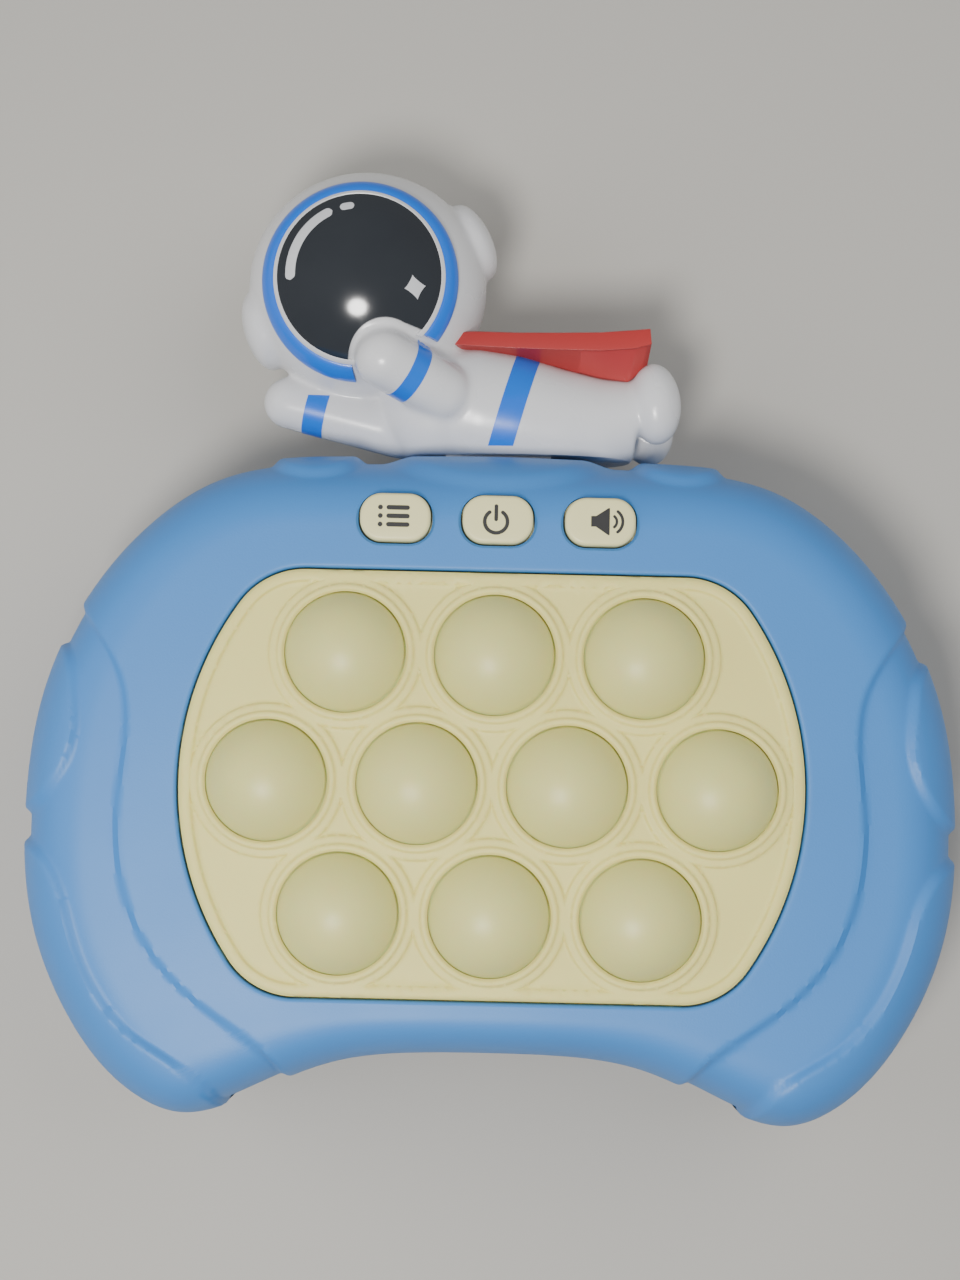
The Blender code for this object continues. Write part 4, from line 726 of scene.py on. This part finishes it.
BUTTON_TOP_Z, BUTTON_EDGE = 36.8, 0.55
INK_HEIGHT = 0.03
KEY_PLASTIC = moulded("cream_abs", (0.77, 0.73, 0.38), 0.38, (0.75, 0.71, 0.37),
                      grain=0.01, grain_size=0.25, patches=7.0)
INK = moulded("dark_ink", (0.022, 0.022, 0.022), 0.5, (0.03, 0.03, 0.03),
              grain=0.01, grain_size=0.1, patches=1.0)
KEY_SKIRT, KEY_SKIRT_Z = 1.0, (32.7, 33.7)
KEY_STEM, KEY_STEM_CORNER, KEY_STEM_Z = 4.0, 1.5, 30.55


def plate(loop, low=BUTTON_TOP_Z, high=BUTTON_TOP_Z + INK_HEIGHT):
    return prism(loop, low - 0.02, high)


def arc_band(radius, width, start, end, centre, steps=20):
    a = np.radians(np.linspace(start, end, steps))
    ray = np.column_stack([np.cos(a), np.sin(a)])
    outer = centre + ray * (radius + width / 2)
    inner = centre + ray * (radius - width / 2)
    cap = [np.radians(np.linspace(end, end + 180, 8)), np.radians(np.linspace(start + 180, start + 360, 8))]
    tips = [centre + radius * ray[k] for k in (-1, 0)]
    caps = [tip + width / 2 * np.column_stack([np.cos(c), np.sin(c)]) for tip, c in zip(tips, cap)]
    return np.vstack([outer[1:-1], caps[0], inner[::-1][1:-1], caps[1]])


def bar(x0, x1, y, width, steps=8):
    a = np.radians(np.linspace(-90, 90, steps))
    right = np.column_stack([x1 - width / 2 + width / 2 * np.cos(a), y + width / 2 * np.sin(a)])
    left = np.column_stack([x0 + width / 2 - width / 2 * np.cos(a), y - width / 2 * np.sin(a)])
    return np.vstack([right, left])


def menu_icon(x, y):
    rows = [y + 1.15, y, y - 1.15]
    bars = [bar(x - 1.05, x + 2.1, row, 0.62) for row in rows]
    return bars + [circle(0.33, (x - 1.85, row), 16) for row in rows]


def power_icon(x, y):
    return [arc_band(1.53, 0.5, 125, 415, np.array((x, y - 0.45)), 48),
            bar(-0.1, 2.2, 0.0, 0.5) @ np.array([[0, 1], [-1, 0]]) + (x, y - 0.3)]


def volume_icon(x, y):
    lower = np.array([(-1.5, -0.72), (-0.85, -0.72), (0.85, -1.85), (1.0, -1.8)])
    horn = np.vstack([lower, lower[::-1] * (1, -1)]) + (x, y)
    middle = np.array((x + 1.0, y))
    return [horn, arc_band(0.95, 0.36, -50, 50, middle), arc_band(1.75, 0.4, -52, 52, middle)]


key_levels = [(KEY_SKIRT, KEY_SKIRT_Z[0]), (KEY_SKIRT, KEY_SKIRT_Z[1]), (0.0, KEY_SKIRT_Z[1]),
              (0.0, BUTTON_TOP_Z - BUTTON_EDGE)]
for a in np.radians((18, 36, 54, 72, 90)):
    key_levels.append((-BUTTON_EDGE * (1 - math.cos(a)), BUTTON_TOP_Z - BUTTON_EDGE * (1 - math.sin(a))))
key_levels.append((-1.6, BUTTON_TOP_Z + 0.001))
icons = (  # each button's name, its icon, and how far the icon sits off the key's middle
    ("menu", menu_icon, -0.15, 0.1), ("power", power_icon, -0.25, 0.1), ("volume", volume_icon, 0.2, 0.0),
)
for (name, icon, dx, dy), (x, y) in zip(icons, BUTTON_PLACES):
    key = link_mesh(f"{name}_key", *loft([at_height(button_loop(grow, (x, y)), z) for grow, z in key_levels]))
    stem = prism(rounded_rectangle(KEY_STEM, KEY_STEM, KEY_STEM_CORNER, (x, y), 5), KEY_STEM_Z, 33.2)
    carve(key, [("UNION", [stem])])
    round_shade(key)
    finish_piece(key, KEY_PLASTIC, "button_cream", f"{name}_button_body", f"{name}_button")
    print_shapes = [plate(loop) for loop in icon(x + dx, y + dy)]
    ink = link_mesh(f"{name}_icon", *several(print_shapes))
    paint(ink, INK)
    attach(ink, f"{name}_button_body")

# ---- Astronaut body --------------------------------------------------------------------------------
# A hollow figure in glossy white ABS, moulded as a front and a back half that meet on a hairline seam.
# It flies on its front along the shelf, held by a stem that hooks inside the case.

HELMET = ((-19.45, 71.5), (17.2, 16.6, 15.3))
FIGURE_SEAM = 0.12
SEAT_Y = 46.8
NEAR_ARM = ((-16.2, 58.8, 30.0), (-8.0, 55.1, 25.6), 4.25)
FAR_ARM = ((-30.4, 54.6, 18.3), (-14.0, 50.9, 18.3), 3.75)
EAR_TILT = 25.0
TRUNK = [  # centre x and y, half height, half depth of the body's cross-sections from chest to ankles
    (-12.2, 54.6, 6.4, 6.2), (-8.0, 54.4, 8.3, 7.8), (-3.0, 54.2, 9.1, 8.4), (3.0, 53.4, 8.9, 8.2),
    (9.0, 52.4, 8.0, 7.6), (15.0, 52.1, 7.0, 6.9), (19.5, 53.0, 6.0, 6.4),
]
CHEST = ((-9.0, 54.5), (8.4, 8.9, 8.2))
BOOTS = [((22.2, 54.8, 22.4), (3.7, 5.9, 4.6)), ((21.8, 52.7, 15.2), (3.9, 5.6, 4.4))]
BOOT_TILT = 6.0
EARS = [(1, 0.3, 3.0), (-1, 0.4, -6.0)]  # which side, how far up it sits, and its extra tilt
EAR_REACH, EAR_RADII = 16.6, (2.7, 5.9, 5.9)
VOXEL, EASE_ROUNDS = 0.34, 26


def ball(centre, radii, turn=0.0, steps=72):
    """An ellipsoid, turned about Z by an angle in degrees."""
    turn = math.radians(turn)
    spin = np.array([(math.cos(turn), math.sin(turn), 0), (-math.sin(turn), math.cos(turn), 0), (0, 0, 1)])
    rings = []
    for a in np.linspace(-math.pi / 2 + 0.02, math.pi / 2 - 0.02, steps // 2):
        rings.append(at_height(circle(math.cos(a), steps=steps), math.sin(a)) * radii @ spin + centre)
    return loft(rings)


def tube(sections, steps=72):
    """A body of elliptical sections that stand across X, closed at both ends."""
    a = np.arange(steps) * 2 * math.pi / steps
    rings = []
    for x, y, high, deep in sections:
        rings.append(np.column_stack([np.full(steps, x), y + high * np.cos(a), PART_Z + deep * np.sin(a)]))
    return loft(rings)


def limb(start, end, radius, taper=1.0):
    """A run of close balls from one end to the other, which the remesh melts into one limb."""
    start, end = np.array(start), np.array(end)
    balls = []
    for share in np.linspace(0, 1, 40):
        balls.append(ball(start + (end - start) * share, [radius * (1 + (taper - 1) * share)] * 3, steps=48))
    return balls


(helmet_x, helmet_y), helmet_radii = HELMET
rounds = [ball((helmet_x, helmet_y, PART_Z), helmet_radii, steps=120)]
tilt = math.radians(EAR_TILT)
for side, up, extra_tilt in EARS:
    out = EAR_REACH * side
    centre = (helmet_x + out * math.cos(tilt), helmet_y + out * math.sin(tilt) + up, PART_Z)
    rounds.append(ball(centre, EAR_RADII, EAR_TILT + extra_tilt))
rounds += limb(*NEAR_ARM, 0.97) + limb(*FAR_ARM, 1.1)
shares = np.linspace(0, len(TRUNK) - 1, 40)
sections = [[np.interp(s, range(len(TRUNK)), [t[k] for t in TRUNK]) for k in range(4)] for s in shares]
rounds += [tube(sections), ball((*CHEST[0], PART_Z), CHEST[1])]
rounds += [ball(centre, radii, BOOT_TILT) for centre, radii in BOOTS]
figure = link_mesh("figure", *several(rounds))
melt = figure.modifiers.new("melt", "REMESH")
melt.mode = "VOXEL"
melt.voxel_size = VOXEL * MM
ease = figure.modifiers.new("ease", "SMOOTH")
ease.factor = 0.5
ease.iterations = EASE_ROUNDS
bake(figure)


def flat_cut(obj, point, normal, fill=True):
    """Cuts away what lies on the normal's side of a plane."""
    cut = bmesh.new()
    cut.from_mesh(obj.data)
    found = bmesh.ops.bisect_plane(cut, geom=[*cut.verts, *cut.edges, *cut.faces], dist=1e-8,
                                   plane_co=place(*point), plane_no=normal, clear_outer=True)
    if fill:
        rim = [item for item in found["geom_cut"] if isinstance(item, bmesh.types.BMEdge)]
        bmesh.ops.holes_fill(cut, edges=rim, sides=0)
    cut.to_mesh(obj.data)
    cut.free()


flat_cut(figure, (0, SEAT_Y, 0), (0, -1, 0))


def copy_of(obj, name):
    twin = bpy.data.objects.new(name, obj.data.copy())
    bpy.context.scene.collection.objects.link(twin)
    return twin


FIGURE_PLASTIC = moulded("white_abs", (0.66, 0.66, 0.67), 0.27, (0.63, 0.635, 0.65), grain=0.008,
                         grain_size=0.4, patches=14.0, Coat_Weight=0.25, Coat_Roughness=0.2)
HALF_GAP = 0.3  # between the parting plane and each half's stem
HOOK_SIZE, HOOK_DEPTH = (21.0, 2.2), 6.3
for name, side in (("front", 1), ("back", -1)):
    shell = copy_of(figure, f"astronaut_{name}")
    flat_cut(shell, (0, 0, PART_Z + side * FIGURE_SEAM / 2), (0, 0, -side))
    low, high = sorted((PART_Z + side * HALF_GAP, PART_Z + side * STEM_DEPTH))
    hook_low, hook_high = sorted((PART_Z + side * HALF_GAP, PART_Z + side * HOOK_DEPTH))
    stem = prism(rounded_rectangle(STEM_WIDTH, 7.6, 0.2, (0.0, 45.5), 2), low, high)
    hook = prism(rounded_rectangle(*HOOK_SIZE, 0.2, (0.0, 42.0), 2), hook_low, hook_high)
    carve(shell, [("UNION", [stem]), ("UNION", [hook])])
    round_shade(shell, 40)
    finish_piece(shell, FIGURE_PLASTIC, "figure_white", "toy", f"figure_{name}")

# ---- Visor, its ring and its printed glints --------------------------------------------------------
# The visor is a glossy black cap set in the helmet, framed by a sky-blue painted bead with a white edge.
# Two glints and a small four-pointed star are printed on it in white, and the near hand is cut clear of it.

VISOR_CENTRE = (-20.0, 70.1)
VISOR_R, RING_INNER_R, RING_OUTER_R = 11.45, 11.75, 13.65
HAND_HALO = 1.3


def helmet_point(radius, angle, lift):
    """A place on the helmet's front, at a radius from the visor's middle, lifted off the surface."""
    x = VISOR_CENTRE[0] + radius * math.cos(angle)
    y = VISOR_CENTRE[1] + radius * math.sin(angle)
    rx, ry, rz = helmet_radii
    rest = max(0.02, 1 - ((x - helmet_x) / rx) ** 2 - ((y - helmet_y) / ry) ** 2)
    z = rz * math.sqrt(rest)
    normal = np.array([(x - helmet_x) / rx**2, (y - helmet_y) / ry**2, z / rz**2])
    normal /= np.linalg.norm(normal)
    return np.array([x, y, PART_Z + z]) + normal * lift


def helmet_ring(radius, lift, steps=160):
    return [helmet_point(radius, 2 * math.pi * k / steps, lift) for k in range(steps)]


def clear_of_hand(halo):
    """The space that the near arm takes up in front of the helmet, wider by a halo."""
    (x0, y0, _), (x1, y1, _), radius = NEAR_ARM
    heading = math.atan2(y1 - y0, x1 - x0)
    r = radius + halo
    turn = np.linspace(heading + math.pi / 2, heading + 3 * math.pi / 2, 40)
    start = np.column_stack([x0 + 0.4 + r * np.cos(turn), y0 - 0.4 + r * np.sin(turn)])
    turn = turn + math.pi
    end = np.column_stack([x1 + 3.0 + r * np.cos(turn), y1 + 0.7 + r * np.sin(turn)])
    return prism(np.vstack([start, end]), PART_Z - 5, PART_Z + 25)


GLOSS_BLACK = moulded("visor_gloss", (0.018, 0.021, 0.026), 0.16, (0.024, 0.028, 0.034),
                      grain=0.02, grain_size=2.5, patches=9.0, Coat_Weight=0.5, Coat_Roughness=0.08)
BLUE_PAINT = moulded("blue_paint", (0.009, 0.145, 0.68), 0.3, (0.008, 0.135, 0.64),
                     grain=0.008, grain_size=0.3, patches=5.0, Coat_Weight=0.3, Coat_Roughness=0.15)
WHITE_INK = moulded("white_ink", (0.60, 0.61, 0.63), 0.4, (0.56, 0.57, 0.59),
                    grain=0.006, grain_size=0.2, patches=2.0)
ROOT = -0.5  # how deep the visor, its ring and its edge sink into the helmet
levels = [(0.004, ROOT), (0.5, ROOT), (1.0, ROOT), (1.0, 0.28), (0.995, 0.33)]
levels += [(s, 0.36) for s in (0.98, 0.93, 0.85, 0.75, 0.65, 0.55, 0.45, 0.35, 0.25, 0.15, 0.06, 0.004)]
visor = link_mesh("visor", *loft([helmet_ring(VISOR_R * s, lift) for s, lift in levels]))
carve(visor, [("DIFFERENCE", [clear_of_hand(HAND_HALO)])])
round_shade(visor, 40)
finish_piece(visor, GLOSS_BLACK, "visor_black", "toy", "figure_visor")

middle_r, half_band = (RING_INNER_R + RING_OUTER_R) / 2, (RING_OUTER_R - RING_INNER_R) / 2
arch = [(middle_r + half_band * math.cos(a), 0.15 + 0.55 * math.sin(a)) for a in np.linspace(0, math.pi, 12)]
bead = [(RING_OUTER_R, ROOT), *arch, (RING_INNER_R, ROOT)]
ring = link_mesh("visor_ring", *loft([helmet_ring(r, lift) for r, lift in bead], closed_path=True))
carve(ring, [("DIFFERENCE", [clear_of_hand(HAND_HALO - 0.5)])])
round_shade(ring, 40)
paint(ring, BLUE_PAINT)
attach(ring, "toy")
lip_outer, lip_inner = RING_INNER_R + 0.12, VISOR_R - 0.22
lip = [(lip_outer, ROOT), (lip_outer, 0.3), (lip_outer - 0.14, 0.46), (lip_inner + 0.1, 0.46),
       (lip_inner, 0.3), (lip_inner, ROOT)]
lip_ring = link_mesh("visor_white_edge", *loft([helmet_ring(r, lift) for r, lift in lip], closed_path=True))
carve(lip_ring, [("DIFFERENCE", [clear_of_hand(HAND_HALO - 0.9)])])
round_shade(lip_ring, 40)
finish_piece(lip_ring, FIGURE_PLASTIC, "figure_white", "toy")


def printed(name, ring_of):
    """A patch of ink on the visor. ring_of(share) gives its outline, shrunk to that share."""
    rings = []
    for share, lift in ((1.0, 0.3), (1.0, 0.385), (0.75, 0.4), (0.5, 0.4), (0.25, 0.4), (0.03, 0.4)):
        rings.append([helmet_point(math.hypot(x, y), math.atan2(y, x), lift) for x, y in ring_of(share)])
    patch = link_mesh(name, *loft(rings))
    paint(patch, WHITE_INK)
    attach(patch, "toy")


def glint(name, start, end, width, radius=9.3):
    """An arc of ink with round ends, between two angles round the visor."""
    angles = np.radians(np.linspace(start, end, 48))
    from_end = radius * np.minimum(np.abs(angles - angles[0]), np.abs(angles[-1] - angles))
    taper = np.sqrt(np.clip(1 - (1 - from_end / (width / 2)).clip(0) ** 2, 0.01, 1))

    def ring_of(share):
        outer, inner = (radius + sign * share * taper * width / 2 for sign in (1, -1))
        r, a = np.concatenate([outer, inner[::-1]]), np.concatenate([angles, angles[::-1]])
        return np.column_stack([r * np.cos(a), r * np.sin(a)])

    printed(name, ring_of)


STAR_PLACE, STAR_SIZE, STAR_POWER, STAR_TURN = (7.75, -1.9), (1.45, 1.6), 0.85, 14.0


def star_ring(share):
    """A four-pointed star with hollow sides."""
    a = np.arange(64) * 2 * math.pi / 64
    hollow = (np.abs(np.cos(a)) ** STAR_POWER + np.abs(np.sin(a)) ** STAR_POWER) ** (-1 / STAR_POWER)
    shape = np.column_stack([np.cos(a), np.sin(a)]) * (hollow * share)[:, None] * STAR_SIZE
    turn = math.radians(STAR_TURN)
    spin = np.array([(math.cos(turn), math.sin(turn)), (-math.sin(turn), math.cos(turn))])
    return shape @ spin + STAR_PLACE


glint("visor_long_glint", 186, 114, 1.4)
glint("visor_short_glint", 107, 95, 1.1)
printed("visor_star", star_ring)

# ---- Painted bands ---------------------------------------------------------------------------------
# Sky-blue bands painted round both wrists and round the astronaut's waist, a hair proud of the white plastic.

PAINT_LIFT, PAINT_THICKNESS = 0.06, 0.09


def band(name, point, heading, slope, width, girth, lowest, highest):
    """A strip of the figure's own skin across a limb, lifted off it and given a thickness."""
    strip = copy_of(figure, name)
    flat_cut(strip, (0, lowest, 0), (0, -1, 0), fill=False)
    flat_cut(strip, (0, highest, 0), (0, 1, 0), fill=False)
    direction = Vector((math.cos(math.radians(heading)), math.sin(math.radians(heading)), slope))
    direction.normalize()
    centre = Vector(point)
    for sign in (1, -1):
        flat_cut(strip, centre + direction * sign * width / 2, direction * sign, fill=False)
    cut = bmesh.new()
    cut.from_mesh(strip.data)
    middle = place(*point)
    far = [v for v in cut.verts if (v.co - middle).cross(direction).length > girth * MM]
    bmesh.ops.delete(cut, geom=far, context="VERTS")
    cut.normal_update()
    for vert in cut.verts:
        vert.co += vert.normal * PAINT_LIFT * MM
    cut.to_mesh(strip.data)
    cut.free()
    thick = strip.modifiers.new("thick", "SOLIDIFY")
    thick.thickness = PAINT_THICKNESS * MM
    thick.offset = -1
    bake(strip)
    round_shade(strip, 60)
    paint(strip, BLUE_PAINT)
    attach(strip, "toy")


band("near_wrist_band", (-12.9, 57.3, 28.2), -25.0, -0.45, 2.3, 4.5, 50.0, 62.0)
band("far_wrist_band", (-26.2, 53.7, 18.3), -13.0, 0.0, 3.0, 4.3, 45.0, 55.1)
band("waist_band", (1.9, 53.6, PART_Z), -16.0, 0.0, 3.4, 9.8, 47.8, 70.0)
bpy.data.objects.remove(figure)

# ---- Cape ------------------------------------------------------------------------------------------
# A cape in glossy red plastic that streams from the astronaut's back. Its rim is thick and rolled, and the
# side below the rim falls away inwards to the body.

RED_PLASTIC = moulded("red_abs", (0.40, 0.034, 0.032), 0.42, (0.36, 0.03, 0.029), grain=0.012,
                      grain_size=0.5, patches=8.0, Coat_Weight=0.15, Coat_Roughness=0.25)
CAPE_BACK = [(-8.0, 64.3), (-4.0, 64.4), (2.0, 64.2), (8.0, 64.2), (14.0, 64.3), (19.0, 64.7), (21.0, 64.9)]
CAPE_RIM = [(-9.0, 62.5), (-4.4, 62.1), (2.0, 61.7), (8.0, 61.5), (14.0, 61.4), (19.0, 61.8), (21.2, 62.4)]
CAPE_FOOT = [(-8.8, 62.2), (-4.4, 61.7), (2.0, 61.1), (8.0, 59.9), (14.0, 58.4), (18.3, 57.8), (20.9, 60.0)]
CAPE_HALF_DEPTH, COLLAR_SHARE, BACK_DIP = 8.0, 0.62, 0.35
LINE_STEPS = range(len(CAPE_BACK))
BACK_DEPTHS, RIM_DEPTHS, FOOT_DEPTHS = (0.5, 0.86, 0.97), (1.0, 0.985, 0.93), (0.55, 0.25)
cape_rings = []
for share in np.linspace(0, 1, 60):
    spot = share * (len(CAPE_BACK) - 1)
    back, rim, foot = ([np.interp(spot, LINE_STEPS, [p[k] for p in line]) for k in (0, 1)]
                       for line in (CAPE_BACK, CAPE_RIM, CAPE_FOOT))
    deep = CAPE_HALF_DEPTH * (COLLAR_SHARE + (1 - COLLAR_SHARE) * math.sin(share * math.pi / 2) ** 0.8)
    half_section = []
    for depth in BACK_DEPTHS:
        half_section.append((back[0], back[1] - BACK_DIP * max(0.0, (depth - 0.86) / 0.14), depth))
    half_section += [(*rim, depth) for depth in RIM_DEPTHS] + [(*foot, depth) for depth in FOOT_DEPTHS]
    near = [(x, y, PART_Z + depth * deep) for x, y, depth in half_section]
    far = [(x, y, PART_Z - depth * deep) for x, y, depth in reversed(half_section)]
    cape_rings.append([*near, *far, (back[0], back[1], PART_Z)])
cape = link_mesh("cape", *loft(cape_rings))
cut = bmesh.new()
cut.from_mesh(cape.data)
bmesh.ops.recalc_face_normals(cut, faces=cut.faces)
cut.to_mesh(cape.data)
cut.free()
soften = cape.modifiers.new("soften", "BEVEL")
soften.width = 0.25 * MM
soften.segments = 3
soften.limit_method = "ANGLE"
soften.angle_limit = math.radians(40)
bake(cape)
round_shade(cape, 50)
finish_piece(cape, RED_PLASTIC, "cape_red", "toy", "figure_cape")

# ---- Inner parts -----------------------------------------------------------------------------------
# What lies behind the pad and the battery door: the light grid, lamps, board, switches, loudspeaker,
# leads, contacts and cells. They show through gaps, when the door lifts or when the case is opened.

coat(STEEL, *[f"board_screw_{i}" for i in range(1, 5)], *[f"battery_spring_{i}" for i in (1, 2, 3)])
coat(STEEL, "contact_minus", "contact_plus", "contact_bridge_left", "contact_bridge_right")
coat(moulded("grid_plastic", (0.70, 0.70, 0.69), 0.45, grain=0.02, grain_size=0.3), "light_grid")
coat(moulded("solder_resist", (0.02, 0.17, 0.06), 0.35, (0.03, 0.23, 0.08),
             grain=0.02, grain_size=0.5, patches=3.0), "main_board")
LAMP = moulded("lamp_resin", (0.72, 0.71, 0.6), 0.2,
               grain=0.01, grain_size=0.3, patches=1.5, Subsurface_Weight=0.2)
coat(LAMP, *[f"led_{i}" for i in range(1, 11)])
BLACK_PLASTIC = moulded("black_plastic", (0.022, 0.022, 0.022), 0.5, (0.03, 0.03, 0.03),
                        grain=0.02, grain_size=0.25, patches=4.0)
coat(BLACK_PLASTIC, "menu_switch", "power_switch", "volume_switch", "speaker")
coat(moulded("cell_sleeve", (0.05, 0.16, 0.08), 0.3, (0.07, 0.2, 0.1),
             grain=0.01, grain_size=0.6, patches=8.0, Metallic=0.6), "battery_1", "battery_2", "battery_3")
coat(moulded("red_insulation", (0.45, 0.025, 0.025), 0.45,
             grain=0.01, grain_size=0.3, patches=3.0), "speaker_lead")
coat(moulded("black_insulation", (0.02, 0.02, 0.02), 0.45, (0.03, 0.03, 0.03),
             grain=0.01, grain_size=0.3, patches=3.0), "battery_lead")
